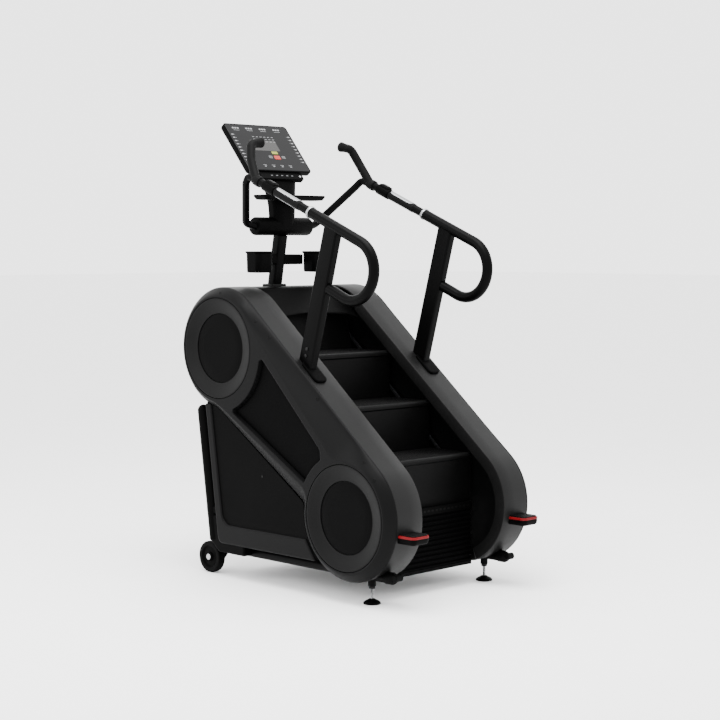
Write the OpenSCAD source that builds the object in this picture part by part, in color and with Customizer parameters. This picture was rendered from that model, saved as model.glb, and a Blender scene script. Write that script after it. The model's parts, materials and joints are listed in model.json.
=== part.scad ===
// Stair climber: an endless stair between two side shrouds, with looped handrails,
// a mast with a console, transport wheels in front and levelling feet behind.
// Sizes are in millimetres. +Y is the way the user faces, +Z is up.

/* [Stairs] */
// Height of one step
step_rise = 204; // [200:1:208]
// Depth of one step, from nose to nose
step_run = 239; // [235:1:243]
// Width of the treads
tread_w = 540; // [500:1:542]
// Height of the lowest nose above the floor
first_nose_z = 553; // [545:1:560]

/* [Side shrouds] */
// Overall width across the shroud faces
body_w = 860; // [852:1:880]
// Height of the upper disc's centre
upper_z = 985; // [980:1:990]
// Height of the lower disc's centre
lower_z = 344; // [338:1:350]
// Radius of the rounded shroud ends
end_r = 260; // [256:1:264]
// Distance of the top band's inner edge from the middle
band_in = 245; // [243:1:247]
// Wall thickness of the mouldings
wall = 4; // [3:0.5:5]

/* [Discs] */
// Radius of the dished ring
ring_r = 213; // [205:1:215]
// Radius of the inner cap
cap_r = 147; // [130:1:155]
// How far the ring is dished inwards
dish = 17; // [10:1:22]

/* [Frame] */
// Distance of rails, posts and feet from the middle
rail_x = 337.5; // [335:0.5:340]
// Radius of the base rails
base_r = 22.5; // [20:0.5:24]
// Radius of the transport wheels
wheel_r = 68.5; // [65:0.5:72]

/* [Handrails] */
// Radius of the rear handrail tube
rail_r = 22.5; // [20:0.5:24]
// Radius of the front tubes
tube_r = 16; // [14:0.5:18]
// Radius of the loop at the rear end of a handrail
loop_r = 122; // [118:1:126]

/* [Console] */
// Width of the console face
console_w = 372; // [360:1:380]
// Height of the console face along its slope
console_h = 278; // [270:1:286]
// Slope of the console face from the horizontal
console_tilt = 50; // [45:1:55]
// Thickness of the console edge
console_t = 30; // [26:1:34]

/* [Hidden] */
$fn = 96;

// Places in the side view are [y, z], with y counted from the levelling feet
upper = [840, upper_z];
lower = [70, lower_z];
shroud_slope = atan2(upper.y - lower.y, upper.x - lower.x);
shroud_len = norm(upper - lower);
shroud_up = [-sin(shroud_slope), cos(shroud_slope)];
face_x = body_w / 2;
bevel = 35;
band_out = face_x - bevel;
under_upper = 232;
under_lower = 118;
wall_x = 285;
lip_h = 50;
rear_reach = 267;

// Stairs: the chain loop carries seven steps
loop_slope = atan2(step_rise, step_run);
pitch = norm([step_run, step_rise]);
chain_r = 80;
step_count = 7;
loop_len = (step_count * pitch - 2 * PI * chain_r) / 2;
idler = upper - loop_len * [cos(loop_slope), sin(loop_slope)];
first_nose = [12, first_nose_z];
nose_side = -(first_nose.x - upper.x) * sin(loop_slope)
    + (first_nose.y - upper.y) * cos(loop_slope);
nose_along = (first_nose.x - idler.x) * cos(loop_slope)
    + (first_nose.y - idler.y) * sin(loop_slope);
tread_t = 22;
chain_x = 278;
travel_up = 30;
travel_down = 20;
over_tilt = 12;
pin_back = 90;

// Console face and the whole object's depth
face_c = [994, 1855];
front_reach = face_c.x + console_h / 2 * cos(console_tilt) + console_t * sin(console_tilt);
y_mid = (front_reach - rear_reach) / 2;

// Handrail: a straight sloping tube, a half-turn loop and a lower leg
rail_slope = 22.7;
loop_c = [112, 1323];
rail_dir = [cos(rail_slope), sin(rail_slope)];
rail_up = [-sin(rail_slope), cos(rail_slope)];
collar_at = 352;
grip_front = 560;
pod_front = 632;
thin_r = 18;
post_foot = [367, 952];
post_head = [222, 1483];
post_d = 78;
post_t = 39;

rail_end = 889;
leg_len = 462;
wheel_c = [960, wheel_r];
wheel_in = 345;
wheel_w = 36;
axle_r = 8;
fit = 0.05;

// Drive train: a chain from the drive shaft to the jackshaft, then a belt
jack = [760, 420];
alt = [640, 270];
gear_r = 96;
pinion_r = 24;
pulley_r = 90;
rotor_r = 25;
gear_x = 320;
gap = 0.4;

function rail_at(y) = [y, loop_c.y + loop_r / cos(rail_slope) + (y - loop_c.x) * tan(rail_slope)];
horn_foot = rail_at(683);
thick_len = (collar_at - loop_c.x) / cos(rail_slope) + loop_r * tan(rail_slope) + 5;
rail_len = (horn_foot.x - loop_c.x) / cos(rail_slope) + loop_r * tan(rail_slope);

function p3(x, p) = [x, p.x, p.y];
function loop_at(along, side) = idler + along * [cos(loop_slope), sin(loop_slope)]
    + side * [-sin(loop_slope), cos(loop_slope)];

module home() translate([0, -y_mid, 0]) children();
module on_left() mirror([1, 0, 0]) children();
module both_sides() { children(); on_left() children(); }
// A side-view outline, given thickness from x0 to x1
module slice(x0, x1) translate([x0, 0, 0]) rotate([90, 0, 90])
    linear_extrude(x1 - x0) children();
// Something made round the Z axis, laid along +X at a side-view point
module along_x(p, x = 0) translate([x, p.x, p.y]) rotate([90, 0, 90]) children();
module rod(a, b, r) {
    d = b - a;
    translate(a) rotate([0, acos(d.z / norm(d)), atan2(d.y, d.x)])
        cylinder(h = norm(d), r = r);
}
// A bent tube: each stretch is the hull of the balls at its two ends
module bent_rod(points, r) for (i = [0:len(points) - 2]) hull()
    for (p = [points[i], points[i + 1]]) translate(p) sphere(r, $fn = 16);
module round_box2(w, h, r) {
    square([w - 2 * r, h], center = true);
    square([w, h - 2 * r], center = true);
    for (x = [-1, 1], y = [-1, 1]) translate([x * (w / 2 - r), y * (h / 2 - r)]) circle(r);
}
module plate(w, h, t, r) linear_extrude(t) round_box2(w, h, r);

// ---- Frame
module base_rails() home() color("#1c1c1e") both_sides() difference() {
    union() {
        rod([rail_x, -92, 117], [rail_x, rail_end, 117], base_r);
        translate([rail_x, 0, 72]) cylinder(h = 30, r = 16);
    }
    translate([rail_x, 0, 60]) cylinder(h = 50, r = 6 + fit);
}

module cross_members() home() color("#1c1c1e") {
    for (y = [100, 500, 860])
        translate([-rail_x + base_r - 4, y - 25, 97])
            cube([2 * (rail_x - base_r + 4), 50, 40]);
    translate([-304, 905, 1168]) cube([608, 60, 36]);
    translate([-40, 910, 1204]) cube([80, 74, 32]);
}

module rail_end_caps() home() color("#111111") both_sides() {
    difference() {
        translate([rail_x, -92, 117]) sphere(24);
        translate([rail_x - 40, -92, 80]) cube([80, 40, 80]);
    }
    along_x([-140, 122], 316) cylinder(h = 40, r = 14);
}

module side_plates() home() color("#232325") both_sides() difference() {
    slice(304, 310) union() {
        translate(upper) circle(95);
        translate(idler) circle(95);
        translate(idler) rotate(loop_slope) translate([0, -60]) square([loop_len, 120]);
        polygon([idler + [-80, 0], idler + [60, -60], [130, 137], [70, 137]]);
        polygon([upper + [-70, -40], upper + [85, -40], [890, 137], [830, 137]]);
        polygon([upper, upper + [92, 10], [965, 1204], [905, 1204]]);
    }
    for (p = [upper, idler]) along_x(p, 300) cylinder(h = 20, r = 30);
}

module shaft_bearings() home() color("#8a8c90") both_sides()
    for (p = [upper, idler]) along_x(p, 0) difference() {
        union() {
            translate([0, 0, 290]) cylinder(h = 22, r = 29.7);
            translate([0, 0, 290]) cylinder(h = 13.7, r = 44);
        }
        translate([0, 0, 280]) cylinder(h = 40, r = 20 + fit);
    }

module chain_guides() home() color("#3a3a3c") both_sides() for (s = [1, -1])
    slice(290, 303.7) translate(idler) rotate(loop_slope)
        translate([110, s * 84 - 6]) square([loop_len - 220, 12]);

// ---- Shrouds: moulded shells whose faces are flats and short facets
module drum(p, r, x0, inset) hull() along_x(p, x0) rotate([0, 0, shroud_slope]) {
    cylinder(h = band_out - inset / 2 - x0, r = r, $fn = 72);
    cylinder(h = face_x - inset - x0, r = r - 40, $fn = 72);
}
// A disc that touches both the top line and the lower line of the web
module web_end(p, under, x0, inset) {
    shift = (end_r - under) / 2;
    drum(p + shift * shroud_up, end_r - shift - inset, x0, inset);
}
module shroud_form(inset, x0) {
    for (p = [upper, lower]) drum(p, end_r - inset, x0, inset);
    hull() {
        web_end(upper, under_upper, x0, inset);
        web_end(lower, under_lower, x0, inset);
    }
}

function lip_outline(r) = [[r - lip_h, band_in], [r, band_in], [r, wall_x + 2],
    [r - wall, wall_x + 2], [r - wall, band_in + wall], [r - lip_h, band_in + wall]];
module band_return() {
    r = end_r - 0.6;
    arc = [[r - wall, band_in], [r, band_in], [r, wall_x + 2], [r - wall, wall_x + 2]];
    along_x(upper) rotate([0, 0, -20])
        rotate_extrude(angle = shroud_slope + 110, $fn = 72) polygon(arc);
    along_x(lower) rotate([0, 0, shroud_slope + 90])
        rotate_extrude(angle = 120, $fn = 72) polygon(lip_outline(r));
    along_x(lower) rotate([0, 0, shroud_slope]) rotate([90, 0, 90])
        linear_extrude(shroud_len) polygon(lip_outline(r));
}

module inner_wall() slice(wall_x, wall_x + 3) difference() {
    union() {
        translate(lower) circle(end_r - 2);
        translate(lower) rotate(shroud_slope) square([shroud_len, end_r - 2]);
    }
    translate(idler) rotate(loop_slope) translate([-60, -600]) square([1400, 695]);
    translate([14, -100]) square([500, 470]);
}

module recess2(grow = 0) difference() {
    polygon([[550 - grow, 955 + 2 * grow], [200 - grow, 605 + 2 * grow],
        [190 - grow, 560], [285, 430 - grow], [752 + grow, 702 - 2 * grow],
        [747 + grow, 760 + grow]]);
    translate(upper) circle(265 - grow);
    translate(lower) circle(252 - grow);
}

module post_form(grow = 0) {
    d = post_head - post_foot;
    translate([rail_x, post_foot.x, post_foot.y]) rotate([atan2(-d.x, d.y), 0, 0])
        translate([0, 0, -150]) linear_extrude(norm(d) + 150) {
            square([post_t - 16 + grow, post_d + grow], center = true);
            square([post_t + grow, post_d - 16 + grow], center = true);
            for (x = [-1, 1], y = [-1, 1])
                translate([x * (post_t / 2 - 8), y * (post_d / 2 - 8)]) circle(8 + grow / 2);
        }
}

module shroud() difference() {
    union() {
        difference() {
            shroud_form(0, wall_x);
            shroud_form(wall, wall_x - 1);
        }
        band_return();
        inner_wall();
    }
    for (p = [upper, lower]) along_x(p, 380) cylinder(h = 60, r = ring_r + 2, $fn = 72);
    slice(400, 440) recess2($fn = 72);
    post_form(1, $fn = 24);
    // Ways for the base rail, the foot's stud, the side plate and the drive chain
    rod([rail_x, -120, 117], [rail_x, rail_end, 117], base_r + 0.5, $fn = 32);
    translate([rail_x, 0, 60]) cylinder(h = 50, r = 17, $fn = 32);
    slice(gear_x - 8, gear_x + 16) translate([680, 610]) square([220, 200]);
    slice(302, 314) translate([764, 620]) square([160, 150]);
}
module left_shroud() home() color("#2e2f31") on_left() shroud();
module right_shroud() home() color("#2e2f31") shroud();

module disc_rings() home() color("#2b2c2e") both_sides() for (p = [upper, lower])
    along_x(p) rotate_extrude() polygon([[cap_r + 1, face_x - dish - 8],
        [ring_r, face_x - 10], [ring_r, face_x], [cap_r + 1, face_x - dish]]);

module disc_caps() home() color("#202123") both_sides() for (p = [upper, lower])
    along_x(p, face_x - dish - 8) cylinder(h = 7, r = cap_r);

module recess_panels() home() color("#161617") both_sides()
    slice(face_x - 24, face_x - 18) recess2(-1);

module base_panel_outline(b) difference() {
    polygon([[948 - b, 782], [872 - b, 250], [858 - b, 150 + b], [150, 150 + b],
        [150, 330], [600, 640]]);
    hull() {
        translate(upper + (end_r - under_upper) / 2 * shroud_up)
            circle((end_r + under_upper) / 2 + 1 + b);
        translate(lower + (end_r - under_lower) / 2 * shroud_up)
            circle((end_r + under_lower) / 2 + 1 + b);
    }
    translate(upper) circle(end_r + 1 + b);
    translate(lower) circle(end_r + 1 + b);
}
module base_panels() home() color("#1d1e20") both_sides() {
    slice(398, 405) base_panel_outline(0);
    slice(405, 412) difference() {
        base_panel_outline(0);
        translate([0, 75]) base_panel_outline(20);
    }
}

module front_leg() {
    difference() {
        union() {
            translate([372, 878, 250]) rotate([-atan2(71, 504), 0, 0])
                rotate_extrude() {
                    square([26, leg_len]);
                    translate([0, leg_len]) intersection() {
                        circle(26);
                        square(26);
                    }
                }
            slice(326, 404) polygon([[700, 141], [874, 141], [904, 150], [904, 290], [700, 290]]);
        }
        along_x(wheel_c, 300) cylinder(h = 120, r = wheel_r + 8);
        translate([0, 0, -1]) slice(396, 420) base_panel_outline(-2);
        translate([rail_x - 30, 690, 60]) cube([60, 220, 81]);
    }
}
module left_front_leg() home() color("#1b1b1d") on_left() front_leg();
module right_front_leg() home() color("#1b1b1d") front_leg();

module hood() home() color("#1a1a1c") {
    slice(-band_in + 1, band_in - 1) polygon([[700, 1130], [830, 1240], [990, 1240],
        [1012, 1225], [1021, 1186], [1017, 1186], [1008, 1222], [988, 1236],
        [831, 1236], [702, 1126]]);
    both_sides() slice(band_in - 5, band_in - 1)
        polygon([[830, 1240], [990, 1240], [1012, 1225], [1018, 1206], [826, 1206], [812, 1220]]);
}

module front_cover() home() color("#1a1a1c") {
    along_x(upper, -wall_x + 1) rotate([0, 0, -24]) rotate_extrude(angle = 70)
        polygon([[end_r - 9, 0], [end_r - 5, 0], [end_r - 5, 2 * wall_x - 2],
            [end_r - 9, 2 * wall_x - 2]]);
    slice(-wall_x + 1, wall_x - 1)
        polygon([[1069, 882], [1073, 882], [934, 150], [930, 150]]);
}

module rear_grille() home() color("#161617") difference() {
    union() {
        translate([-wall_x + 1, -12, 152]) cube([2 * wall_x - 2, 12, 198]);
        translate([-band_in + 2, -12, 88]) cube([2 * band_in - 4, 12, 70]);
    }
    for (i = [0:8]) translate([-225, -13, 126 + 20 * i]) cube([450, 8, 8]);
    for (i = [-9:9]) translate([i * 24 - 7, -13, 330]) cube([14, 14, 12]);
}

// ---- Entry steps
module entry_plate(z0, z1, grow) difference() {
    translate([330, -210, z0]) linear_extrude(z1 - z0) round_box2(100 + 2 * grow,
        114 + 2 * grow, 22 + grow);
    along_x(lower, 200) cylinder(h = 260, r = end_r + 0.3);
}
module entry_steps() home() color("#19191b") both_sides() {
    difference() {
        entry_plate(266, 306, 0);
        entry_plate(291, 301, 1);
    }
    entry_plate(290.9, 301.1, -4);
}
module entry_trims() home() color("#b3202a") both_sides() difference() {
    entry_plate(291.2, 300.8, 0);
    entry_plate(291, 301, -4);
}

// ---- Posts and handrails
module posts() home() color("#1b1b1d") both_sides() difference() {
    post_form();
    rod(p3(rail_x, rail_at(100)), p3(rail_x, rail_at(400)), rail_r);
}

module post_collars() home() color("#151516") both_sides() difference() {
    translate([rail_x, 353, 933]) rotate([shroud_slope, 0, 0])
        translate([0, 8, -4]) plate(66, 122, 14, 20);
    post_form(0.4);
    along_x(lower) rotate([0, 0, shroud_slope]) translate([0, 0, 200])
        cube([shroud_len, end_r + 0.2, 300]);
}

module handrail() {
    along_x(loop_c, rail_x) rotate([0, 0, rail_slope]) {
        rotate([0, 0, 90]) rotate_extrude(angle = 180) translate([loop_r, 0]) circle(rail_r);
        translate([0, loop_r]) rotate([0, 90, 0])
            rotate_extrude() polygon([[0, 0], [rail_r, 0], [rail_r, thick_len - 10],
                [25, thick_len - 10], [25, thick_len], [thin_r, thick_len],
                [thin_r, rail_len], [0, rail_len]]);
        translate([0, -loop_r]) rotate([0, 90, 0]) cylinder(h = 92, r = rail_r);
    }
}
module left_handrail() home() color("#1b1b1d") on_left() handrail();
module right_handrail() home() color("#1b1b1d") handrail();

module front_tubes() home() color("#1b1b1d") both_sides() difference() {
    bent_rod([[rail_x, 684, 1695], [rail_x - 1, 735, 1700], [330, 760, 1680],
        [207, 906, 1516], [158, 897, 1503]], tube_r);
    rod(p3(rail_x, rail_at(600)), p3(rail_x, horn_foot), thin_r + 0.1);
}

module horn() difference() {
    union() {
        bent_rod([[rail_x, 688, 1706], [322, 735, 1775], [307, 760, 1828], [292, 768, 1846],
            [270, 771, 1856], [236, 772, 1860]], 20);
        rod([252, 771.5, 1858], [228, 772, 1861], 23, $fn = 32);
    }
    rod(p3(rail_x, rail_at(600)), p3(rail_x, horn_foot), thin_r + 0.1);
    bent_rod([[rail_x, 684, 1695], [rail_x - 1, 735, 1700], [330, 760, 1680]], tube_r + 0.1);
}
module left_horn() home() color("#111112") on_left() horn();
module right_horn() home() color("#111112") horn();

module rail_tube(y0, y1, r_out, r_in) difference() {
    rod(p3(rail_x, rail_at(y0)), p3(rail_x, rail_at(y1)), r_out);
    rod(p3(rail_x, rail_at(y0 - 5)), p3(rail_x, rail_at(y1 + 5)), r_in);
}
module contact_plates() home() color("#c8cacc") both_sides() difference() {
    rail_tube(collar_at + 68, grip_front, 22, thin_r + 0.1);
    for (s = [0, 180]) translate(p3(rail_x, rail_at(480))) rotate([rail_slope, 0, 0])
        rotate([0, s, 0]) translate([-2, -120, -30]) rotate([0, 25, 0]) cube([60, 240, 25]);
}

module rail_sleeves() home() color("#141415") both_sides() difference() {
    union() {
        rail_tube(grip_front + 2, pod_front, 23, thin_r + 0.1);
        translate(p3(rail_x, rail_at(596))) rotate([rail_slope, 0, 0])
            translate([0, 0, thin_r + 1]) plate(30, 62, 11, 9);
    }
    translate(p3(rail_x, rail_at(596))) rotate([rail_slope, 0, 0])
        translate([0, 0, thin_r + 4]) plate(18.6, 40.6, 12, 5.3);
}
module rail_button() translate(p3(rail_x, rail_at(596))) rotate([rail_slope, 0, 0])
    translate([0, 0, thin_r + 6]) plate(18, 40, 7.5, 5);
module left_rail_button() home() color("#2c2c2e") on_left() rail_button();
module right_rail_button() home() color("#2c2c2e") rail_button();

// ---- Mast, neck, tray and cup holders
mast_foot = [952, 1240];
mast_head = [911, 1466];
module mast() home() color("#1b1b1d") {
    d = mast_head - mast_foot;
    translate([0, mast_foot.x, mast_foot.y]) rotate([atan2(-d.x, d.y), 0, 0])
        translate([0, 0, 2]) plate(54, 51, norm(d) - 2, 14);
    translate([0, mast_foot.x + 1, mast_foot.y]) plate(92, 86, 10, 24);
}

module neck_body(grow) hull() {
    translate([0, 905, 1500]) plate(120 + grow, 76 + grow, 4, 24, $fn = 32);
    translate([0, 902, 1600]) plate(132 + grow, 84 + grow, 4, 26, $fn = 32);
    translate([0, 925, 1706]) plate(196 + grow, 60 + grow, 4, 26, $fn = 32);
}
module neck() home() color("#18181a") difference() {
    union() {
        along_x([905, 1505], -160) cylinder(h = 320, r = 40);
        neck_body(0);
    }
    console_space();
    translate([-200, 846, 1626]) cube([400, 16, 18]);
    both_sides() rod([256, 915, 1529], [150, 895.5, 1500.9], tube_r + 0.1);
    translate([0, mast_foot.x, mast_foot.y])
        rotate([atan2(mast_foot.x - mast_head.x, mast_head.y - mast_foot.y), 0, 0])
            plate(54.4, 51.4, norm(mast_head - mast_foot) + 0.2, 14.2);
}

module tray() home() color("#19191b") difference() {
    union() {
        translate([0, 850, 1628]) plate(360, 108, 10, 24);
        translate([0, 800, 1628]) plate(300, 8, 16, 3.9);
    }
    neck_body(0.4);
}

module cup_holders() home() color("#19191b") both_sides() {
    difference() {
        union() {
            translate([168, 862, 1302]) plate(94, 94, 92, 26);
            translate([168, 862, 1388]) plate(104, 104, 8, 30);
        }
        translate([168, 862, 1308]) plate(84, 84, 100, 22);
    }
    difference() {
        translate([24, 905, 1336]) cube([104, 44, 46]);
        translate([168, 862, 1300]) plate(90, 90, 100, 24);
        translate([0, mast_foot.x, mast_foot.y])
            rotate([atan2(mast_foot.x - mast_head.x, mast_head.y - mast_foot.y), 0, 0])
                plate(54.4, 51.4, 240, 14.2);
    }
}

// ---- Console: in its own frame, x across, y up the face and z out of it
module on_console() translate([0, face_c.x, face_c.y]) rotate([console_tilt, 0, 0]) children();
module console_space() on_console() {
    translate([0, 0, -console_t]) plate(console_w + 1, console_h + 1, 200, 14);
    translate([0, -console_h / 2 - 14, -console_t - 0.3]) plate(250.6, 50.6, 200, 12);
}
stop_at = [24, -58];
start_at = [24, -30];
level_up_at = [62, -56];
level_down_at = [-14, -56];
module key_hole(p, w, h) translate([p.x, p.y, -7]) plate(w + 0.8, h + 0.8, 20, 3.4);
module key_holes() {
    key_hole(stop_at, 34, 22);
    key_hole(start_at, 34, 16);
    key_hole(level_up_at, 20, 16);
    key_hole(level_down_at, 20, 16);
}
module console_housing() home() color("#161617") on_console() difference() {
    union() {
        translate([0, 0, -console_t]) plate(console_w, console_h, console_t, 14);
        translate([0, -console_h / 2 - 14, -console_t]) plate(250, 50, 22, 12);
    }
    translate([0, 0, -3]) plate(console_w - 10, console_h - 10, 4, 10);
    key_holes();
}
module console_glass() home() color("#0b0b0d") on_console() difference() {
    translate([0, 0, -2.9]) plate(console_w - 11, console_h - 11, 2.9, 9.5);
    key_holes();
}
module key(p, w, h) on_console() translate([p.x, p.y, -2.4]) plate(w, h, 4, 3);
module stop_key() home() color("#c22b24") key(stop_at, 34, 22);
module start_key() home() color("#b7b52a") key(start_at, 34, 16);
module level_up_key() home() color("#8c8e92") key(level_up_at, 20, 16);
module level_down_key() home() color("#8c8e92") key(level_down_at, 20, 16);

// ---- Fasteners: six shroud screws a side and two bolts at each post
module shroud_screw(along, side) along_x(lower) rotate([0, 0, shroud_slope])
    translate([along, side, face_x - 16]) cylinder(h = 3, r = 6);
module post_bolt(p) along_x(p, rail_x + post_t / 2 - 0.2) cylinder(h = 6, r = 8);
module fasteners() home() color("#54565a") both_sides() {
    for (k = [0:3]) shroud_screw(shroud_len * (0.12 + 0.22 * k), end_r - 19.5);
    post_bolt([355, 1000]);
    post_bolt([362, 972]);
}

// ---- Feet and wheels
module foot() translate([rail_x, 0, 0]) {
    cylinder(h = 6, r = 35);
    translate([0, 0, 6]) cylinder(h = 14, r1 = 35, r2 = 13);
    translate([0, 0, 20]) cylinder(h = 78, r = 6);
}
module left_foot() home() color("#1a1a1a") on_left() foot();
module right_foot() home() color("#1a1a1a") foot();

module foot_nuts() home() color("#2a2a2b") both_sides() translate([rail_x, 0, 61.7])
    difference() {
        cylinder(h = 10, r = 13, $fn = 6);
        translate([0, 0, -1]) cylinder(h = 12, r = 6 + fit);
    }

module wheel() along_x(wheel_c, wheel_in) difference() {
    union() {
        rotate_extrude() polygon([[50, 0], [wheel_r - 4, 0], [wheel_r, 4],
            [wheel_r, wheel_w - 4], [wheel_r - 4, wheel_w], [50, wheel_w]]);
        translate([0, 0, 6]) cylinder(h = wheel_w - 12, r = 51);
        cylinder(h = wheel_w, r = 20);
    }
    translate([0, 0, -1]) cylinder(h = wheel_w + 2, r = axle_r + fit);
}
module left_wheel() home() color("#151515") on_left() wheel();
module right_wheel() home() color("#151515") wheel();

module wheel_axles() home() color("#b8babd") both_sides() {
    along_x(wheel_c, 318) cylinder(h = wheel_in + wheel_w + 1 - 318, r = axle_r);
    along_x(wheel_c, wheel_in + wheel_w + 1) cylinder(h = 4, r = 13);
    slice(320, 330) difference() {
        polygon([[rail_end, 136], [925, 136], [985, 85], [985, 45], [935, 45], [rail_end, 98]]);
        translate(wheel_c) circle(axle_r + 0.1);
    }
}

// ---- Drive train, inside
module belt_loop(a, b, ra, rb, x0, x1, t) {
    span = norm(b - a);
    turn = atan2(b.y - a.y, b.x - a.x);
    lean = acos((ra - rb) / span);
    slice(x0, x1) difference() {
        belt_area(a, b, ra + t, rb + t, turn, acos((ra - rb) / span));
        belt_area(a, b, ra, rb, turn, lean);
    }
}
module belt_area(a, b, ra, rb, turn, lean) {
    translate(a) circle(ra);
    translate(b) circle(rb);
    polygon([a + ra * [cos(turn + lean), sin(turn + lean)],
        b + rb * [cos(turn + lean), sin(turn + lean)],
        b + rb * [cos(turn - lean), sin(turn - lean)],
        a + ra * [cos(turn - lean), sin(turn - lean)]]);
}
module drive_chain() home() color("#6f7175")
    belt_loop(upper, jack, gear_r + gap, pinion_r + gap, gear_x, gear_x + 8, 7);
module alternator_belt() home() color("#111111")
    belt_loop(jack, alt, pulley_r + gap, rotor_r + gap, 100, 120, 4);

module drive_shaft() home() color("#7d7f83") {
    along_x(upper, -311) cylinder(h = gear_x + 319, r = 20);
    for (x = [-chain_x - 3, chain_x - 3]) along_x(upper, x) cylinder(h = 6, r = 74);
    along_x(upper, gear_x) cylinder(h = 8, r = gear_r);
}
module idler_shaft() home() color("#7d7f83") {
    along_x(idler, -311) cylinder(h = 622, r = 20);
    for (x = [-chain_x - 3, chain_x - 3]) along_x(idler, x) cylinder(h = 6, r = 74);
}
module jackshaft() home() color("#7d7f83") {
    along_x(jack, 60) cylinder(h = gear_x - 52, r = 12);
    along_x(jack, 100) cylinder(h = 20, r = pulley_r);
    along_x(jack, gear_x) cylinder(h = 8, r = pinion_r);
}
module alternator() home() color("#4a4c50") {
    difference() {
        union() {
            along_x(alt, -50) cylinder(h = 130, r = 72);
            translate([-50, alt.x - 60, 137]) cube([130, 120, 90]);
        }
        along_x(alt, -44) cylinder(h = 118, r = 62);
        along_x(alt, 60) cylinder(h = 40, r = 12 + fit);
    }
    // Two plates carry the jackshaft
    for (x = [82, 176]) slice(x, x + 8) difference() {
        polygon([[jack.x - 30, jack.y + 20], [jack.x + 30, jack.y + 20], [885, 137], [835, 137]]);
        translate(jack) circle(12 + fit);
    }
}
module alternator_rotor() home() color("#9a6a3a") {
    along_x(alt, -40) cylinder(h = 108, r = 58);
    along_x(alt, 60) cylinder(h = 62, r = 12);
    along_x(alt, 100) cylinder(h = 20, r = rotor_r);
}
module control_box() home() color("#3c3e42") {
    translate([-100, 440, 137]) cube([200, 130, 70]);
}
module power_inlet() home() color("#101010") difference() {
    translate([-190, 905, 180]) cube([50, 30, 36]);
    translate([-180, 918, 186]) cube([30, 30, 24]);
}

// ---- Steps and chains
module step_outline() difference() {
    union() {
        translate([9, -9]) circle(9);
        translate([9, -tread_t]) square([step_run - 11, tread_t]);
        translate([0, -tread_t]) square([20, tread_t - 9]);
        translate([6, -step_rise - 12]) square([10, step_rise]);
    }
}
module step_body() {
    slice(-tread_w / 2, tread_w / 2) step_outline();
    for (x = [-tread_w / 2, tread_w / 2 - 6]) slice(x, x + 6)
        polygon([[8, -10], [step_run - 2, -10], [step_run - 2, -tread_t - 8],
            [16, -step_rise + 4], [8, -step_rise + 4]]);
}
module turned_about(p, a) translate([0, p.x, p.y]) rotate([a, 0, 0])
    translate([0, -p.x, -p.y]) children();
module climbing_steps() home() color("#141415") {
    for (k = [0:2]) translate([0, first_nose.x + k * step_run, first_nose.y + k * step_rise])
        step_body();
    top = first_nose + 3 * [step_run, step_rise];
    turned_about(top + [6, -step_rise], -over_tilt) translate([0, top.x, top.y]) step_body();
}
module return_steps() home() color("#141415") for (k = [4:6]) {
    wrapped = nose_along + k * pitch - loop_len - PI * chain_r;
    p = loop_at(loop_len - wrapped, -nose_side);
    translate([0, p.x, p.y]) rotate([180, 0, 0]) step_body();
}
module chain_run(s, start, end) both_sides() slice(chain_x - 5, chain_x + 5)
    translate(idler) rotate(loop_slope) translate([start, s * chain_r - 5])
        square([end - start, 10]);
module climbing_chain() home() color("#6f7175") {
    chain_run(1, travel_down, loop_len - travel_up);
    both_sides() for (k = [0:2]) {
        p = loop_at(nose_along + k * pitch + pin_back, chain_r);
        along_x(p, tread_w / 2) cylinder(h = 8, r = 5);
    }
}
module return_chain() home() color("#6f7175") {
    chain_run(-1, travel_up, loop_len - travel_down);
    both_sides() for (k = [4:6]) {
        p = loop_at(2 * loop_len + PI * chain_r - nose_along - k * pitch - pin_back, -chain_r);
        along_x(p, tread_w / 2) cylinder(h = 8, r = 5);
    }
}

base_rails();
cross_members();
rail_end_caps();
side_plates();
shaft_bearings();
chain_guides();
left_shroud();
right_shroud();
disc_rings();
disc_caps();
recess_panels();
base_panels();
left_front_leg();
right_front_leg();
hood();
front_cover();
rear_grille();
entry_steps();
entry_trims();
posts();
post_collars();
left_handrail();
right_handrail();
front_tubes();
left_horn();
right_horn();
contact_plates();
rail_sleeves();
mast();
neck();
tray();
cup_holders();
console_housing();
console_glass();
fasteners();
foot_nuts();
wheel_axles();
alternator();
alternator_belt();
drive_chain();
control_box();
power_inlet();
climbing_steps();
climbing_chain();
return_steps();
return_chain();
drive_shaft();
idler_shaft();
jackshaft();
alternator_rotor();
left_wheel();
right_wheel();
left_foot();
right_foot();
stop_key();
start_key();
level_up_key();
level_down_key();
left_rail_button();
right_rail_button();
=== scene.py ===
# %% [markdown]
# # A stair climber, dressed in Blender
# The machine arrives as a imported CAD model: every tube, shell and step already has its size
# and its place, and the moving ones have joints. This notebook gives it its looks. It makes
# a surface with numpy for each visible piece, lets it ride on the CAD body it belongs to,
# and gives every finish its own procedural material.

import json
import math

import bmesh
import bpy
import numpy as np
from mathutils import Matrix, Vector
from mathutils.geometry import tessellate_polygon


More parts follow.
